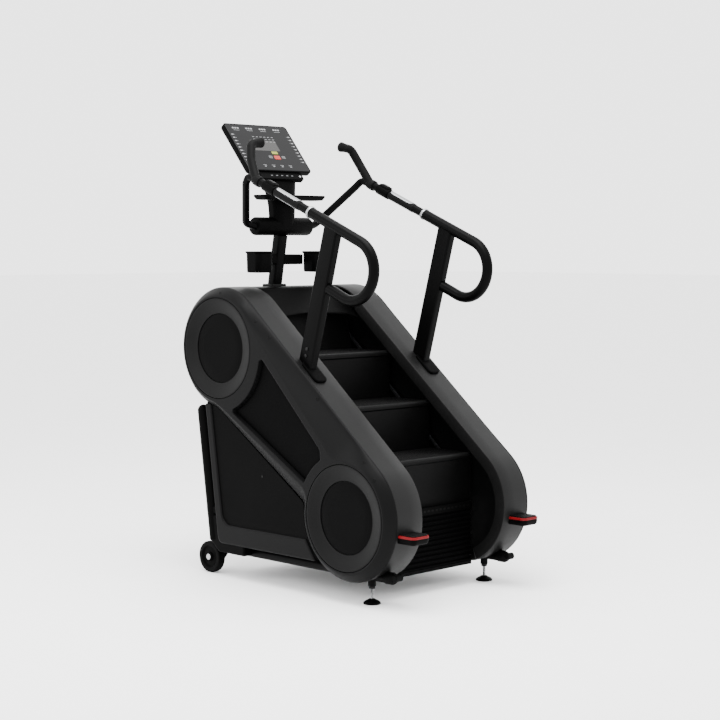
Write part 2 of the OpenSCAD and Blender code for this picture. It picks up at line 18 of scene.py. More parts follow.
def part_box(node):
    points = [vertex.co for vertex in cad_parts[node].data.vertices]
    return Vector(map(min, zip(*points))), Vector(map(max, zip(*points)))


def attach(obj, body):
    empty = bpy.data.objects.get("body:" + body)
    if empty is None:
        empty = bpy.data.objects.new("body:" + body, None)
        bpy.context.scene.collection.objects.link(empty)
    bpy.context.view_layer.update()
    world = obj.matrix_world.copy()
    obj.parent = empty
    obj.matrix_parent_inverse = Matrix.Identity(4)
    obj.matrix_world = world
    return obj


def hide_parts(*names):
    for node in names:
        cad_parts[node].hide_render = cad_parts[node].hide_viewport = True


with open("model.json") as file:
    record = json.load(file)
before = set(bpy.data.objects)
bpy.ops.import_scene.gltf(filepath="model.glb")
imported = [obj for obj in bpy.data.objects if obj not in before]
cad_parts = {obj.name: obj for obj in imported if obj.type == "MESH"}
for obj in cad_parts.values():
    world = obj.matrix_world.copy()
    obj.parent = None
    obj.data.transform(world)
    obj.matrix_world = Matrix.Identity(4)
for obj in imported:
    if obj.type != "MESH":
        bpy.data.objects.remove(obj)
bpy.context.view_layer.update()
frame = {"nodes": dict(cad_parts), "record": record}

# %% [markdown]
# ## Where things are
# Side views of the machine count Y from the levelling feet, so the feet give the offset to
# the frame's own origin. Other places come from the CAD nodes' boxes, and the angle of the
# shrouds is worked out from them; the rails' slope is given. All lengths are in metres.

# %% Places and driving sizes
def middle(node):
    """The middle of a CAD node's box."""
    low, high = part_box(node)
    return np.array((low + high) / 2)


FEET_Y = middle("left_foot")[1]
RAIL_X = abs(middle("right_foot")[0])
FACE_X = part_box("right_shroud")[1][0]
BAND_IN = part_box("right_shroud")[0][0]
SHROUD_R = 0.26
RING_R = 0.213
UPPER = np.array([0.840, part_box("disc_rings")[1][2] - RING_R])
LOWER = np.array([0.070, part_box("disc_rings")[0][2] + RING_R])
ALONG = (UPPER - LOWER) / np.linalg.norm(UPPER - LOWER)
ABOVE = np.array([-ALONG[1], ALONG[0]])
SHROUD_LEN = np.linalg.norm(UPPER - LOWER)
X_AXIS = np.array([1.0, 0.0, 0.0])
print("feet at y", round(FEET_Y, 4), "face at x", round(FACE_X, 3), "length", round(SHROUD_LEN, 3))


# %% [markdown]
# ## Surfaces from whole arrays
# A piece here is a pair: an array of points and a list of face arrays. A grid of points
# becomes quads by indexing its neighbours, so no loop ever visits a vertex. Three shapes
# cover most of the machine: a section carried along a path, a profile turned round an
# axle, and an outline given thickness with rounded rims.

# %% Grids and joins
def grid(points, wrap=True, ends=True, ring=False):
    """Quads between neighbours of a (rows, columns, 3) grid. wrap joins the last column to
    the first, ring joins the last row to the first, and ends closes the outer rows."""
    rows, cols = points.shape[:2]
    index = np.arange(rows * cols).reshape(rows, cols)
    here = index if ring else index[:-1]
    there = np.roll(index, -1, 0) if ring else index[1:]
    quads = np.stack([here, np.roll(here, -1, 1), np.roll(there, -1, 1), there], -1)
    if not wrap:
        quads = quads[:, :-1]
    faces = [quads.reshape(-1, 4)]
    if ends and not ring:
        faces += [index[:1, ::-1], index[-1:]]
    return points.reshape(-1, 3), faces


def joined(*parts):
    """Several (points, faces) pairs as one."""
    starts = np.cumsum([0] + [len(points) for points, _ in parts])
    points = np.concatenate([points for points, _ in parts])
    return points, [f + s for (_, faces), s in zip(parts, starts) for f in faces]


def mirrored(part):
    """The same part on the other side: x becomes -x."""
    return part[0] * [-1, 1, 1], part[1]


def pair(part):
    """A part and its mirror image, as one."""
    return joined(part, mirrored(part))


# %% Outlines and paths
def circle(radius, count=32):
    """Points (radius cos t, radius sin t) for t once round."""
    t = np.linspace(0, 2 * np.pi, count, endpoint=False)
    return radius * np.stack([np.cos(t), np.sin(t)], 1)


def arc(centre, radius, start, end, count):
    """Points on a circle between two angles in degrees."""
    t = np.radians(np.linspace(start, end, count))
    return np.array(centre) + radius * np.stack([np.cos(t), np.sin(t)], 1)


def rounded(corners, radius, closed=True, count=8):
    """A path whose corners are arcs: each arc starts radius * tan(half the turn) before its
    corner and swings round a centre on the corner's inner bisector."""
    corners = np.asarray(corners, float)
    radii = np.broadcast_to(radius, len(corners))
    ahead = np.roll(corners, -1, 0) - corners
    ahead /= np.maximum(np.linalg.norm(ahead, axis=1, keepdims=True), 1e-12)
    back = np.roll(ahead, 1, 0)
    turn = np.arccos(np.clip((ahead * back).sum(1), -1, 1))
    bend = ahead - back
    bend /= np.maximum(np.linalg.norm(bend, axis=1, keepdims=True), 1e-12)
    centre = corners + bend * (radii / np.cos(turn / 2))[:, None]
    start = corners - back * (radii * np.tan(turn / 2))[:, None] - centre
    end = corners + ahead * (radii * np.tan(turn / 2))[:, None] - centre
    share = np.linspace(0, 1, count)[None, :, None]
    swing = np.maximum(turn, 1e-6)[:, None, None]
    arcs = (np.sin((1 - share) * swing) * start[:, None]
            + np.sin(share * swing) * end[:, None]) / np.sin(swing) + centre[:, None]
    if closed:
        return arcs.reshape(-1, corners.shape[1])
    inner = arcs[1:-1].reshape(-1, corners.shape[1])
    return np.concatenate([corners[:1], inner, corners[-1:]])


def evenly(path, step, closed=False):
    """The same path with its points one step apart, by its length."""
    path = np.concatenate([path, path[:1]]) if closed else path
    ahead = np.linalg.norm(np.diff(path, axis=0), axis=1)
    path = path[np.concatenate([[True], ahead > 1e-9])]
    length = np.concatenate([[0], np.cumsum(ahead[ahead > 1e-9])])
    count = max(3, int(round(length[-1] / step)))
    places = np.linspace(0, length[-1], count, endpoint=not closed)
    return np.stack([np.interp(places, length, axis) for axis in path.T], 1)


def softened(outline, spread, step=None):
    """Values along a closed, even outline, blurred: a Gaussian damps their waves."""
    step = step or np.linalg.norm(outline[1] - outline[0])
    wave = np.fft.fftfreq(len(outline))
    damp = np.exp(-2 * (np.pi * wave * spread / step) ** 2)
    return np.fft.ifft(np.fft.fft(outline, axis=0) * damp[:, None], axis=0).real


def outward(outline):
    """Unit normals that point out of a closed outline, across each point's neighbours."""
    run = np.roll(outline, -1, 0) - np.roll(outline, 1, 0)
    normal = np.stack([run[:, 1], -run[:, 0]], 1)
    normal /= np.maximum(np.linalg.norm(normal, axis=1, keepdims=True), 1e-12)
    after = np.roll(outline, -1, 0)
    area = (outline[:, 0] * after[:, 1] - outline[:, 1] * after[:, 0]).sum()
    return normal * np.sign(area)


# %% Sweeps, turned parts and slabs
def sweep(path, section, side=X_AXIS, size=None, ring=False):
    """A closed section carried along a path. At each point the section's first axis is
    side x direction and its second axis is direction x first; size scales it there."""
    run = np.roll(path, -1, 0) - np.roll(path, 1, 0) if ring else np.gradient(path, axis=0)
    run /= np.linalg.norm(run, axis=1, keepdims=True)
    first = np.cross(side, run)
    first /= np.linalg.norm(first, axis=1, keepdims=True)
    second = np.cross(run, first)
    size = np.ones(len(path)) if size is None else np.asarray(size)
    reach = section[None, :, :1] * first[:, None] + section[None, :, 1:] * second[:, None]
    return grid(path[:, None] + size[:, None, None] * reach, ring=ring)


def turned(profile, centre, axis=X_AXIS, count=96):
    """A (radius, height) profile turned once round an axis through a centre."""
    profile, axis = np.asarray(profile, float), np.asarray(axis, float)
    helper = np.array([0.0, 0.0, 1.0]) if abs(axis[2]) < 0.9 else np.array([0.0, 1.0, 0.0])
    first = np.cross(helper, axis) / np.linalg.norm(np.cross(helper, axis))
    second = np.cross(axis, first)
    round_it = circle(1, count)
    spoke = round_it[:, :1] * first + round_it[:, 1:] * second
    points = profile[:, None, :1] * spoke[None] + profile[:, None, 1:] * axis
    return grid(points + centre)


def side_view(outline, x):
    """Side-view points [y from the feet, z] placed at a distance x from the middle."""
    x = np.broadcast_to(x, len(outline))
    return np.stack([x, outline[:, 0] + FEET_Y, outline[:, 1]], 1)


def rim(back, front, radius, count=5):
    """(inset, depth) pairs for a slab with quarter-round rims on both sides."""
    t = np.linspace(0, np.pi / 2, count)
    low = np.stack([radius * (1 - np.sin(t)), back + radius * (1 - np.cos(t))], 1)
    high = np.stack([low[::-1, 0], back + front - low[::-1, 1]], 1)
    return np.concatenate([low, high])


GUARD = 0.001


def inset_by(outline, amount):
    """The outline moved inwards along its normals. Where a corner is tighter than the
    amount the moved points cross over: they are the ones that end up nearer the outline
    than the amount, and they are replaced by a straight run between their neighbours."""
    moved = outline - outward(outline) * amount
    gap = np.linalg.norm(moved[:, None] - outline[None], axis=2).min(axis=1)
    good = np.flatnonzero(gap >= 0.97 * abs(amount))
    if len(good) < len(moved) / 2:
        return moved
    return np.stack([np.interp(np.arange(len(moved)), good, moved[good, k], period=len(moved))
                     for k in (0, 1)], 1)


def slab(outline, profile, place=side_view):
    """An outline with thickness: each (inset, depth) pair draws the outline once, moved
    inwards by the inset along its normals and placed at the depth. A guard row just inside
    each end keeps the flat ends' shading flat."""
    profile = np.asarray(profile, float)
    guard = profile[[0, -1]] + [GUARD, 0]
    rows = [place(inset_by(outline, inset), depth)
            for inset, depth in np.concatenate([guard[:1], profile, guard[1:]])]
    return grid(np.stack(rows))


def box_outline(width, height, radius, count=6):
    """A rectangle round the origin with round corners."""
    w, h = width / 2, height / 2
    return rounded([[w, -h], [w, h], [-w, h], [-w, -h]], radius, count=count)


def plane_at(origin, first, second):
    """A placing function: outline (a, b) at depth d goes to origin + a first + b second +
    d times their cross product."""
    origin, first, second = (np.asarray(v, float) for v in (origin, first, second))
    out = np.cross(first, second)

    def place(outline, depth):
        return origin + outline[:, :1] * first + outline[:, 1:] * second + depth * out
    return place


print("tools ready")


# %% [markdown]
# ## Finishes as sums
# A finish is a small sum of noises: a base tone, broad clouds, fine grain, and the same
# grain again as bumps. Python can write such a sum if a socket knows how to add, so one
# class wraps a socket and makes a Math node for each operator.

# %% Material maths
class Signal:
    """A value that varies over a surface. Sums on it add Math nodes to its material."""

    def __init__(self, tree, socket=None):
        self.tree, self.socket = tree, socket

    def node(self, kind, inputs=(), out=0, **settings):
        """Adds one node: settings first, then the values or links of its inputs."""
        made = self.tree.nodes.new(kind)
        for key, value in settings.items():
            setattr(made, key, value)
        for key, value in dict(inputs).items():
            if isinstance(value, Signal):
                self.tree.links.new(value.socket, made.inputs[key])
            else:
                made.inputs[key].default_value = value
        return Signal(self.tree, made.outputs[out])

    def math(self, operation, *values, **more):
        return self.node("ShaderNodeMath", enumerate(values), operation=operation, **more)

    def __add__(self, other):
        return self.math("ADD", self, other)

    def __sub__(self, other):
        return self.math("SUBTRACT", self, other)

    def __rsub__(self, other):
        return self.math("SUBTRACT", other, self)

    def __mul__(self, other):
        return self.math("MULTIPLY", self, other)

    __radd__, __rmul__ = __add__, __mul__

    def clear(self):
        """Kept between 0 and 1."""
        return self.math("ADD", self, 0.0, use_clamp=True)

    def above(self, start, end):
        """0 below start, 1 above end, smooth between."""
        made = {"Value": self, "From Min": start, "From Max": end}
        return self.node("ShaderNodeMapRange", made, interpolation_type="SMOOTHSTEP")

    def tint(self, low, high):
        """A colour between two colours, by this value."""
        ends = {0: self, 6: (*low, 1), 7: (*high, 1)}
        return self.node("ShaderNodeMix", ends, out=2, data_type="RGBA")

    def noise(self, scale, detail=2.0, stretch=(1, 1, 1)):
        """Noise over the piece's own coordinates, from 0 to 1 round 0.5."""
        place = self.node("ShaderNodeTexCoord", out="Object")
        ends = {0: place, 1: stretch}
        place = self.node("ShaderNodeVectorMath", ends, operation="MULTIPLY")
        return self.node("ShaderNodeTexNoise", {"Vector": place, "Scale": scale, "Detail": detail})

    def bump(self, height, strength=1.0):
        """A normal tilted by this value; height is the full relief in metres."""
        made = {"Height": self, "Distance": height, "Strength": strength}
        return self.node("ShaderNodeBump", made)


FINISH = {}


def finish(slot, looks):
    """Makes the material of one slot: looks(signal) returns the shader's inputs."""
    material = bpy.data.materials.new(slot + " finish")
    material.use_nodes = True
    tree = material.node_tree
    shader = tree.nodes["Principled BSDF"]
    for key, value in looks(Signal(tree)).items():
        if isinstance(value, Signal):
            tree.links.new(value.socket, shader.inputs[key])
        else:
            shader.inputs[key].default_value = value
    FINISH[slot] = material


# %% [markdown]
# ### Moulded plastic and powder coat
# Almost everything on this machine is black, so the finishes differ in how they scatter
# light: the shrouds have a fine moulded grain, the recesses a coarser one, and the tubes a
# slightly wavy powder coat. Clouds of a few centimetres vary tone and roughness, because
# no moulding is perfectly even.

# %% Plastic, paint and rubber
def moulded(base, rough, grain=900, relief=0.00015, cloud=0.3, shine=0.3, coat=0.0):
    """Tone = base times (1 + clouds + grain), roughness moves with the clouds."""
    def looks(signal):
        fine = signal.noise(grain)
        broad = signal.noise(9, 3)
        tone = (0.5 + (broad - 0.5) * cloud + (fine - 0.5) * 0.25).clear()
        dark = tuple(c * 0.25 for c in base)
        light = tuple(c * 1.75 for c in base)
        return {
            "Base Color": tone.tint(dark, light),
            "Roughness": (rough + (broad - 0.5) * 0.16 + (fine - 0.5) * 0.1).clear(),
            "Specular IOR Level": shine,
            "Coat Weight": coat,
            "Coat Roughness": 0.25,
            "Normal": fine.bump(relief, 0.6),
        }
    return looks


finish("shroud_black", moulded((0.0013, 0.0013, 0.00135), 0.46, shine=0.05))
# band_grey is twice the shroud black: painted highlight for the stair band's upward face, where the light
# from above falls.
finish("band_grey", moulded((0.0026, 0.0026, 0.0026), 0.46, shine=0.10))
finish("ring_grey", moulded((0.0020, 0.0020, 0.0020), 0.42, shine=0.055))
finish("cap_black", moulded((0.0006, 0.0006, 0.00062), 0.48, grain=700, shine=0.02))
finish("recess_black", moulded((0.0005, 0.0005, 0.00052), 0.58, grain=520, relief=0.0003, shine=0.018))
finish("panel_black", moulded((0.0005, 0.0005, 0.0005), 0.50, grain=800, shine=0.02))
finish("tread_black", moulded((0.0008, 0.0008, 0.0008), 0.46, grain=600, relief=0.0004, shine=0.05))
finish("frame_black", moulded((0.0006, 0.0006, 0.00062), 0.38, grain=350, relief=0.00012, cloud=0.2,
                              shine=0.03))
finish("grip_rubber", moulded((0.0010, 0.0010, 0.0010), 0.60, grain=600, relief=0.0003, shine=0.05))
finish("tyre_black", moulded((0.0010, 0.0010, 0.0010), 0.58, grain=500, relief=0.0003, shine=0.03))
finish("bolt_dark", moulded((0.0020, 0.0020, 0.0021), 0.35, grain=700, shine=0.1))
finish("trim_red", moulded((0.10, 0.0025, 0.004), 0.42, grain=700, shine=0.08))
finish("key_red", moulded((0.24, 0.012, 0.006), 0.36, grain=700, cloud=0.15))
finish("key_yellow", moulded((0.14, 0.15, 0.012), 0.36, grain=700, cloud=0.15))
finish("key_grey", moulded((0.06, 0.062, 0.064), 0.38, grain=700, cloud=0.15))
finish("box_grey", moulded((0.03, 0.032, 0.034), 0.45, grain=500))
print(len(FINISH), "plastic and paint finishes")

# %% [markdown]
# ### Metal, glass and print
# Brushed steel is noise stretched along one axis, so its scratches run one way. The screen
# is black glass under a coat, with a faint smear in its roughness. The white marks on the
# console are their own finish.

# %% Metal, glass and print
def metal(base, rough, stretch=(1, 1, 1), wear=0.25):
    """Scratches are noise stretched by factors; they darken and roughen the metal."""
    def looks(signal):
        scratch = signal.noise(60, 3, stretch)
        stain = signal.noise(14, 3)
        tone = (0.5 + (scratch - 0.5) * wear + (stain - 0.5) * wear).clear()
        return {
            "Base Color": tone.tint(tuple(c * 0.5 for c in base), tuple(c * 1.5 for c in base)),
            "Metallic": 1.0,
            "Roughness": (rough + (scratch - 0.5) * 0.2 + (stain - 0.5) * 0.15).clear(),
            "Normal": scratch.bump(0.00003, 0.4),
        }
    return looks


def dark_glass(signal):
    smear = signal.noise(7, 4, (1, 3, 1))
    return {
        "Base Color": smear.tint((0.0006, 0.0006, 0.0008), (0.0018, 0.0018, 0.0022)),
        "Roughness": (0.14 + (smear - 0.5) * 0.12).clear(),
        "Specular IOR Level": 0.10,
        "Coat Weight": 0.04,
        "Coat Roughness": 0.08,
    }


def printed(signal):
    worn = signal.noise(400, 3)
    return {
        "Base Color": worn.tint((0.09, 0.092, 0.095), (0.18, 0.183, 0.186)),
        "Roughness": (0.5 + (worn - 0.5) * 0.2).clear(),
    }


def display(signal):
    rows = signal.noise(300, 1, (1, 6, 6))
    return {
        "Base Color": rows.tint((0.0008, 0.0007, 0.0006), (0.004, 0.003, 0.002)),
        "Roughness": (0.25 + (rows - 0.5) * 0.1).clear(),
    }


finish("contact_steel", metal((0.26, 0.265, 0.27), 0.34, (14, 1, 1)))
finish("bright_steel", metal((0.34, 0.345, 0.35), 0.26, (4, 1, 1)))
finish("chain_steel", metal((0.035, 0.036, 0.037), 0.5))
finish("copper", metal((0.5, 0.26, 0.12), 0.35, (30, 1, 1)))
finish("screen_glass", dark_glass)
finish("printed_white", printed)
finish("display_dim", display)
print("finishes:", ", ".join(sorted(FINISH)))

# %% [markdown]
# ### Every CAD node gets its slot's finish
# The pieces inside the machine, such as the chains and the alternator, stay as CAD made
# them. Each takes the finish of the slot that its record names, so that nothing stays grey
# where a gap lets the eye in.

# %% Dress the CAD nodes
SLOT_OF = {part["node"]: part["material_slot"] for part in frame["record"]["subparts"]}
for name, node in frame["nodes"].items():
    node.data.materials.clear()
    node.data.materials.append(FINISH[SLOT_OF[name]])
print(len(SLOT_OF), "CAD nodes dressed")

# %% [markdown]
# ## Camera, floor and light
# The machine is seen from its rear left at about handrail height with a long lens, which
# keeps the steps' lines nearly parallel. The floor is a pale flat plane under a white world,
# and the light is a white surround, a broad softbox above and a weaker one at the side.

# %% Camera
camera = bpy.data.objects.new("camera", bpy.data.cameras.new("camera"))
camera.data.lens = 85
camera.data.sensor_width = 36
camera.location = (-5.06512, -5.13589, 1.43082)
camera.rotation_euler = (math.radians(90 - 3.932), 0, math.radians(-44.661))
camera.data.clip_end = 100
bpy.context.collection.objects.link(camera)
bpy.context.scene.camera = camera
print("camera", tuple(round(v, 2) for v in camera.location))


# %% Make a piece
def piece(name, part, slot, body="machine", stands_for=(), crease=38, looks=None):
    """Turns points and faces into a mesh object: doubles merged, faces outwards, smooth but
    for edges sharper than the crease, dressed, and riding on its body. looks names another
    finish for a piece that is not in its slot's own."""
    points, faces = part
    mesh = bpy.data.meshes.new(name)
    mesh.from_pydata(points.tolist(), [], [row for block in faces for row in block.tolist()])
    work = bmesh.new()
    work.from_mesh(mesh)
    bmesh.ops.remove_doubles(work, verts=work.verts, dist=2e-6)
    bmesh.ops.recalc_face_normals(work, faces=work.faces)
    ends = [face for face in work.faces if len(face.verts) > 4]
    for face in work.faces:
        face.smooth = len(face.verts) <= 4
    bmesh.ops.triangulate(work, faces=ends, ngon_method="EAR_CLIP")
    work.to_mesh(mesh)
    work.free()
    mesh.validate()
    mesh.set_sharp_from_angle(angle=math.radians(crease))
    made = bpy.data.objects.new(name, mesh)
    bpy.context.collection.objects.link(made)
    mesh.materials.append(FINISH[looks or slot])
    if body:
        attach(made, body)
    if stands_for:
        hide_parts(*stands_for)
    print(f"{name}: {len(mesh.polygons)} faces")
    return made


# %% Floor and light
def paper(signal):
    """The studio paper: nearly white, with a very faint mottle."""
    fibre = signal.noise(3, 4)
    return {
        "Base Color": fibre.tint((0.90, 0.90, 0.90), (0.93, 0.93, 0.93)),
        "Roughness": (0.9 + (fibre - 0.5) * 0.05).clear(),
        "Specular IOR Level": 0.1,
    }


def lamp(name, place, aim, width, height, power):
    """A soft area light at a place that faces its aim."""
    light = bpy.data.lights.new(name, "AREA")
    light.shape = "RECTANGLE"
    light.size, light.size_y, light.energy = width, height, power
    made = bpy.data.objects.new(name, light)
    made.location = place
    facing = Vector(aim) - Vector(place)
    made.rotation_mode = "QUATERNION"
    made.rotation_quaternion = facing.to_track_quat("-Z", "Y")
    bpy.context.collection.objects.link(made)


finish("studio_paper", paper)
reach = 60.0
floor_points = np.array([[-reach, -reach, 0], [reach, -reach, 0], [reach, reach, 0], [-reach, reach, 0]])
floor = piece("floor", (floor_points, [np.array([[0, 1, 2, 3]])]), "studio_paper", body=None)

world = bpy.data.worlds.new("studio")
world.use_nodes = True
world.node_tree.nodes["Background"].inputs["Color"].default_value = (1, 1, 1, 1)
world.node_tree.nodes["Background"].inputs["Strength"].default_value = 3.2
bpy.context.scene.world = world
lamp("softbox above", (-0.6, -0.6, 4.2), (0, 0, 0.8), 2.6, 2.6, 330)
lamp("side softbox", (-4.0, 1.8, 2.6), (0, 0.2, 0.7), 1.6, 2.4, 90)
print("studio ready")

# %% [markdown]
# ## The side shrouds
# Each side of the machine is a moulded shroud: two round ends joined by a web, a rounded
# bevel that grows wider towards the lower disc, and a flat band that returns over the
# stairs. One outline drives all of it. The outline is sampled evenly and blurred a little
# along itself, which turns each inside corner into a fillet, and the shell is a grid whose
# rows are the outline moved inwards and outwards.

# %% The shroud's outline
UNDER_UPPER = 0.232
UNDER_LOWER = 0.118
OUTLINE_STEP = 0.004


def lower_line():
    """The line under the web, as a unit normal n and an offset c with n . p = c. It touches
    two circles that share the web's top line, so n . (u - l) equals their radii's gap."""
    ends = [(disc + ABOVE * (SHROUD_R - under) / 2, (SHROUD_R + under) / 2)
            for disc, under in ((UPPER, UNDER_UPPER), (LOWER, UNDER_LOWER))]
    (upper, r_upper), (lower, r_lower) = ends
    across = upper - lower
    angle = np.arctan2(across[1], across[0])
    angle -= np.arccos((r_lower - r_upper) / np.linalg.norm(across))
    normal = np.array([np.cos(angle), np.sin(angle)])
    return normal, normal @ upper + r_upper


def meets_disc(disc, way):
    """The angle, in degrees, at which the lower line leaves a round end."""
    normal, offset = lower_line()
    drop = offset - normal @ disc
    run = np.array([-normal[1], normal[0]]) * way * np.sqrt(SHROUD_R**2 - drop**2)
    hit = normal * drop + run
    return np.degrees(np.arctan2(hit[1], hit[0]))


def shroud_outline():
    """Top line, round the lower end, lower line, round the upper end."""
    top = np.degrees(np.arctan2(ABOVE[1], ABOVE[0]))
    low_end = arc(LOWER, SHROUD_R, top, meets_disc(LOWER, 1) + 360, 160)
    up_end = arc(UPPER, SHROUD_R, meets_disc(UPPER, -1) + 360, top + 360, 160)
    path = np.concatenate([low_end, up_end])
    return softened(evenly(path, OUTLINE_STEP, closed=True), 0.010)


EDGE = shroud_outline()
EDGE_OUT = outward(EDGE)
print("shroud outline:", len(EDGE), "points")

# %% The crease where the bevel meets the flat face
DISC_CREASE = 0.222


def from_lower(along, above):
    """A side-view point by its distances along and above the line through both discs."""
    return LOWER + along * ALONG + above * ABOVE


CREASE_TOP = from_lower(0.92, 0.216), from_lower(0.29, 0.144)
CREASE_LOW = np.array([0.755, 0.702]), np.array([0.300, 0.444])


def beyond(line, points, way):
    """Signed distance of points past a line given by two of its points."""
    run = (line[0] - line[1]) / np.linalg.norm(line[0] - line[1])
    return (points - line[1]) @ (np.array([-run[1], run[0]]) * way)


def face_field(points):
    """Negative on the flat face: the smooth union of two discs and the web between them."""
    discs = [np.linalg.norm(points - disc, axis=-1) - DISC_CREASE for disc in (UPPER, LOWER)]
    web = np.maximum(beyond(CREASE_TOP, points, 1), beyond(CREASE_LOW, points, -1))
    along = (points - LOWER) @ ALONG
    web = np.maximum(web, np.maximum(-along, along - SHROUD_LEN))
    blend = 0.012
    return -blend * np.log(sum(np.exp(-np.clip(f, -0.3, 0.3) / blend) for f in (*discs, web)))


def crease_insets():
    """How far inwards from each outline point the face field first turns negative."""
    depth = np.linspace(0, 0.2, 120)
    probes = EDGE[:, None] - EDGE_OUT[:, None] * depth[None, :, None]
    first = (face_field(probes) < 0).argmax(1)
    inset = depth[np.maximum(first, 8)]
    return softened(inset[:, None], 0.012, OUTLINE_STEP)[:, 0]


BEVEL_W = crease_insets()
BEVEL_X = 0.395
BEVEL_H = FACE_X - BEVEL_X


def bevel_row(share):
    """The outline at a share of the bevel: x climbs as 1 - (1 - share)^1.4."""
    climb = 1 - (1 - share) ** 1.4
    points = EDGE - EDGE_OUT * (BEVEL_W * share)[:, None]
    return side_view(points, BEVEL_X + BEVEL_H * climb)


print("bevel from", round(BEVEL_W.min(), 3), "to", round(BEVEL_W.max(), 3), "wide")

# %% [markdown]
# ### The shell, its wells and its band
# The flat face has three wells: two round ones for the discs and a long one for the web's
# recess. The face is one polygon with holes, which Blender fills with triangles, and each
# well's wall is a grid that starts on its hole. The band over the stairs is a separate
# strip, because it is moulded apart; its lighter grey is painted highlight for its upward
# face, where the light from above falls.

# %% The recess in the web
WEB_ARC_UPPER = 0.268
WEB_ARC_LOWER = 0.253


def recess_outline():
    """Lower edge, arc below the upper disc, upper edge, arc above the lower disc."""
    low = np.array([[0.2975, 0.4575], [0.744, 0.714]])
    by_upper = arc(UPPER, WEB_ARC_UPPER, 249, 188, 40)
    high = np.array([[0.552, 0.957], [0.203, 0.608]])
    by_lower = arc(LOWER, WEB_ARC_LOWER, 60, 28, 24)
    path = np.concatenate([low, by_upper, high, by_lower])
    return softened(evenly(path, 0.003, closed=True), 0.007)


RECESS = recess_outline()
print("recess outline:", len(RECESS), "points")


# %% The shell
WELL_X = 0.404
SHELL_X = 0.296


def filled(outlines, x):
    """A flat face at x inside the first outline and outside the others."""
    from mathutils import Vector
    loops = [[Vector((0, *p)) for p in side_view(o, x)[:, 1:]] for o in outlines]
    triangles = np.array(tessellate_polygon(loops))
    return np.concatenate([side_view(o, x) for o in outlines]), [triangles]


def well(outline, lip, floor_x):
    """A wall from the face down to a floor: rows of (inset, x), closed by the floor."""
    rows = [(-GUARD, FACE_X), (0, FACE_X), (lip * 0.35, FACE_X - 0.0012),
            (lip, floor_x + 0.003), (lip + 0.0004, floor_x)]
    normal = outward(outline)
    points = np.stack([side_view(outline - normal * inset, x) for inset, x in rows])
    flat, faces = grid(points, ends=False)
    last = np.arange(len(flat) - len(outline), len(flat))
    return flat, faces + [last[None, :]]


def shell():
    """The shroud from its inner cap, over the rim and the bevel, to the face and wells."""
    under = [side_view(EDGE - EDGE_OUT * inset, x)
             for inset, x in ((0.0062, SHELL_X), (0.0062, 0.3800), (0.0006, 0.3882))]
    corner = side_view(EDGE, BEVEL_X - 0.0008)
    start, second = side_view(EDGE, 0.3890), bevel_row(0.18)
    share = np.linspace(0, 1, 6)[:, None, None]
    turn = (1 - share) ** 2 * start + 2 * share * (1 - share) * corner + share**2 * second
    crease = EDGE - EDGE_OUT * (BEVEL_W + GUARD)[:, None]
    rows = [*under, *turn, *[bevel_row(s) for s in np.linspace(0.25, 1, 11)],
            side_view(crease, FACE_X)]
    points, faces = grid(np.stack(rows), ends=False)
    holes = [disc + circle(RING_R + 0.0028, 128) for disc in (UPPER, LOWER)] + [RECESS]
    back = (points[:len(EDGE)], [np.arange(len(EDGE))[None, ::-1]])
    wells = [well(hole, lip, WELL_X) for hole, lip in zip(holes, (0.0006, 0.0006, 0.010))]
    rims = [hole + outward(hole) * GUARD for hole in holes]
    return joined((points, faces), back, filled([crease, *rims], FACE_X), *wells)


def band():
    """The strip over the stairs: its inner edge and its lip withdraw where nothing shows."""
    along, above = (EDGE - LOWER) @ ALONG, (EDGE - LOWER) @ ABOVE
    over = (above > 0.1) & (along < SHROUD_LEN)
    behind = (along < 0.2) & (EDGE[:, 0] < -0.019)
    ahead = (along > 0.8 * SHROUD_LEN) & (EDGE[:, 1] > 0.896)
    reach = np.stack([over | behind | ahead, over | behind], 1).astype(float)
    reach = np.clip(softened(reach, 0.012, OUTLINE_STEP), 0, 1)
    inner = BAND_IN + 0.042 * (1 - reach[:, 0])
    lip = 0.0045 + 0.0455 * reach[:, 1]
    rows = [(lip, inner), (0.006, inner), (0.0018, inner + 0.0012), (0, inner + 0.005),
            (0, inner * 0.5 + 0.19), (0, 0.3800), (0.0004, 0.3868), (0.0012, 0.3874),
            (0.0045, 0.3874), (0.0045, inner + 0.006), (lip, inner + 0.0045)]
    points = [side_view(EDGE - EDGE_OUT * np.broadcast_to(inset, len(EDGE))[:, None], x)
              for inset, x in rows]
    return grid(np.stack(points), ring=True)


right_shell, right_band = shell(), band()
piece("right_shroud_shell", right_shell, "shroud_black", stands_for=["right_shroud"])
piece("left_shroud_shell", mirrored(right_shell), "shroud_black", stands_for=["left_shroud"])
# The stair bands' lighter grey is painted highlight for their upward faces.
piece("right_stair_band", right_band, "band_grey")
piece("left_stair_band", mirrored(right_band), "band_grey")

# %% Recess panels
panel = slab(RECESS, [(0.0106, WELL_X + 0.001), (0.0106, 0.4118), (0.0130, 0.4128), (0.030, 0.4124)])
piece("recess_floors", pair(panel), "recess_black", stands_for=["recess_panels"])

# %% [markdown]
# ## The discs
# Each round end carries a dished ring and a flat cap. They are turned parts: a profile of
# radius and depth goes once round the disc's centre. Small steps in the profile catch a
# line of light at the seam and round the cap, which is what makes the parts read as two.

# %% Rings and caps
RING_PROFILE = [(0.1480, WELL_X), (0.2130, WELL_X), (0.2130, 0.4278), (0.2124, 0.4292),
                (0.2108, 0.4298), (0.2050, 0.4288), (0.1900, 0.4245), (0.1700, 0.4186),
                (0.1560, 0.4148), (0.1510, 0.4141), (0.1489, 0.4138), (0.1480, 0.4128)]
CAP_PROFILE = [(0, WELL_X), (0.1466, WELL_X), (0.1470, 0.4092), (0.1464, 0.4106),
               (0.1448, 0.4111), (0.1000, 0.4114), (0, 0.4116)]


def disc_place(disc):
    return np.array([0, disc[0] + FEET_Y, disc[1]])


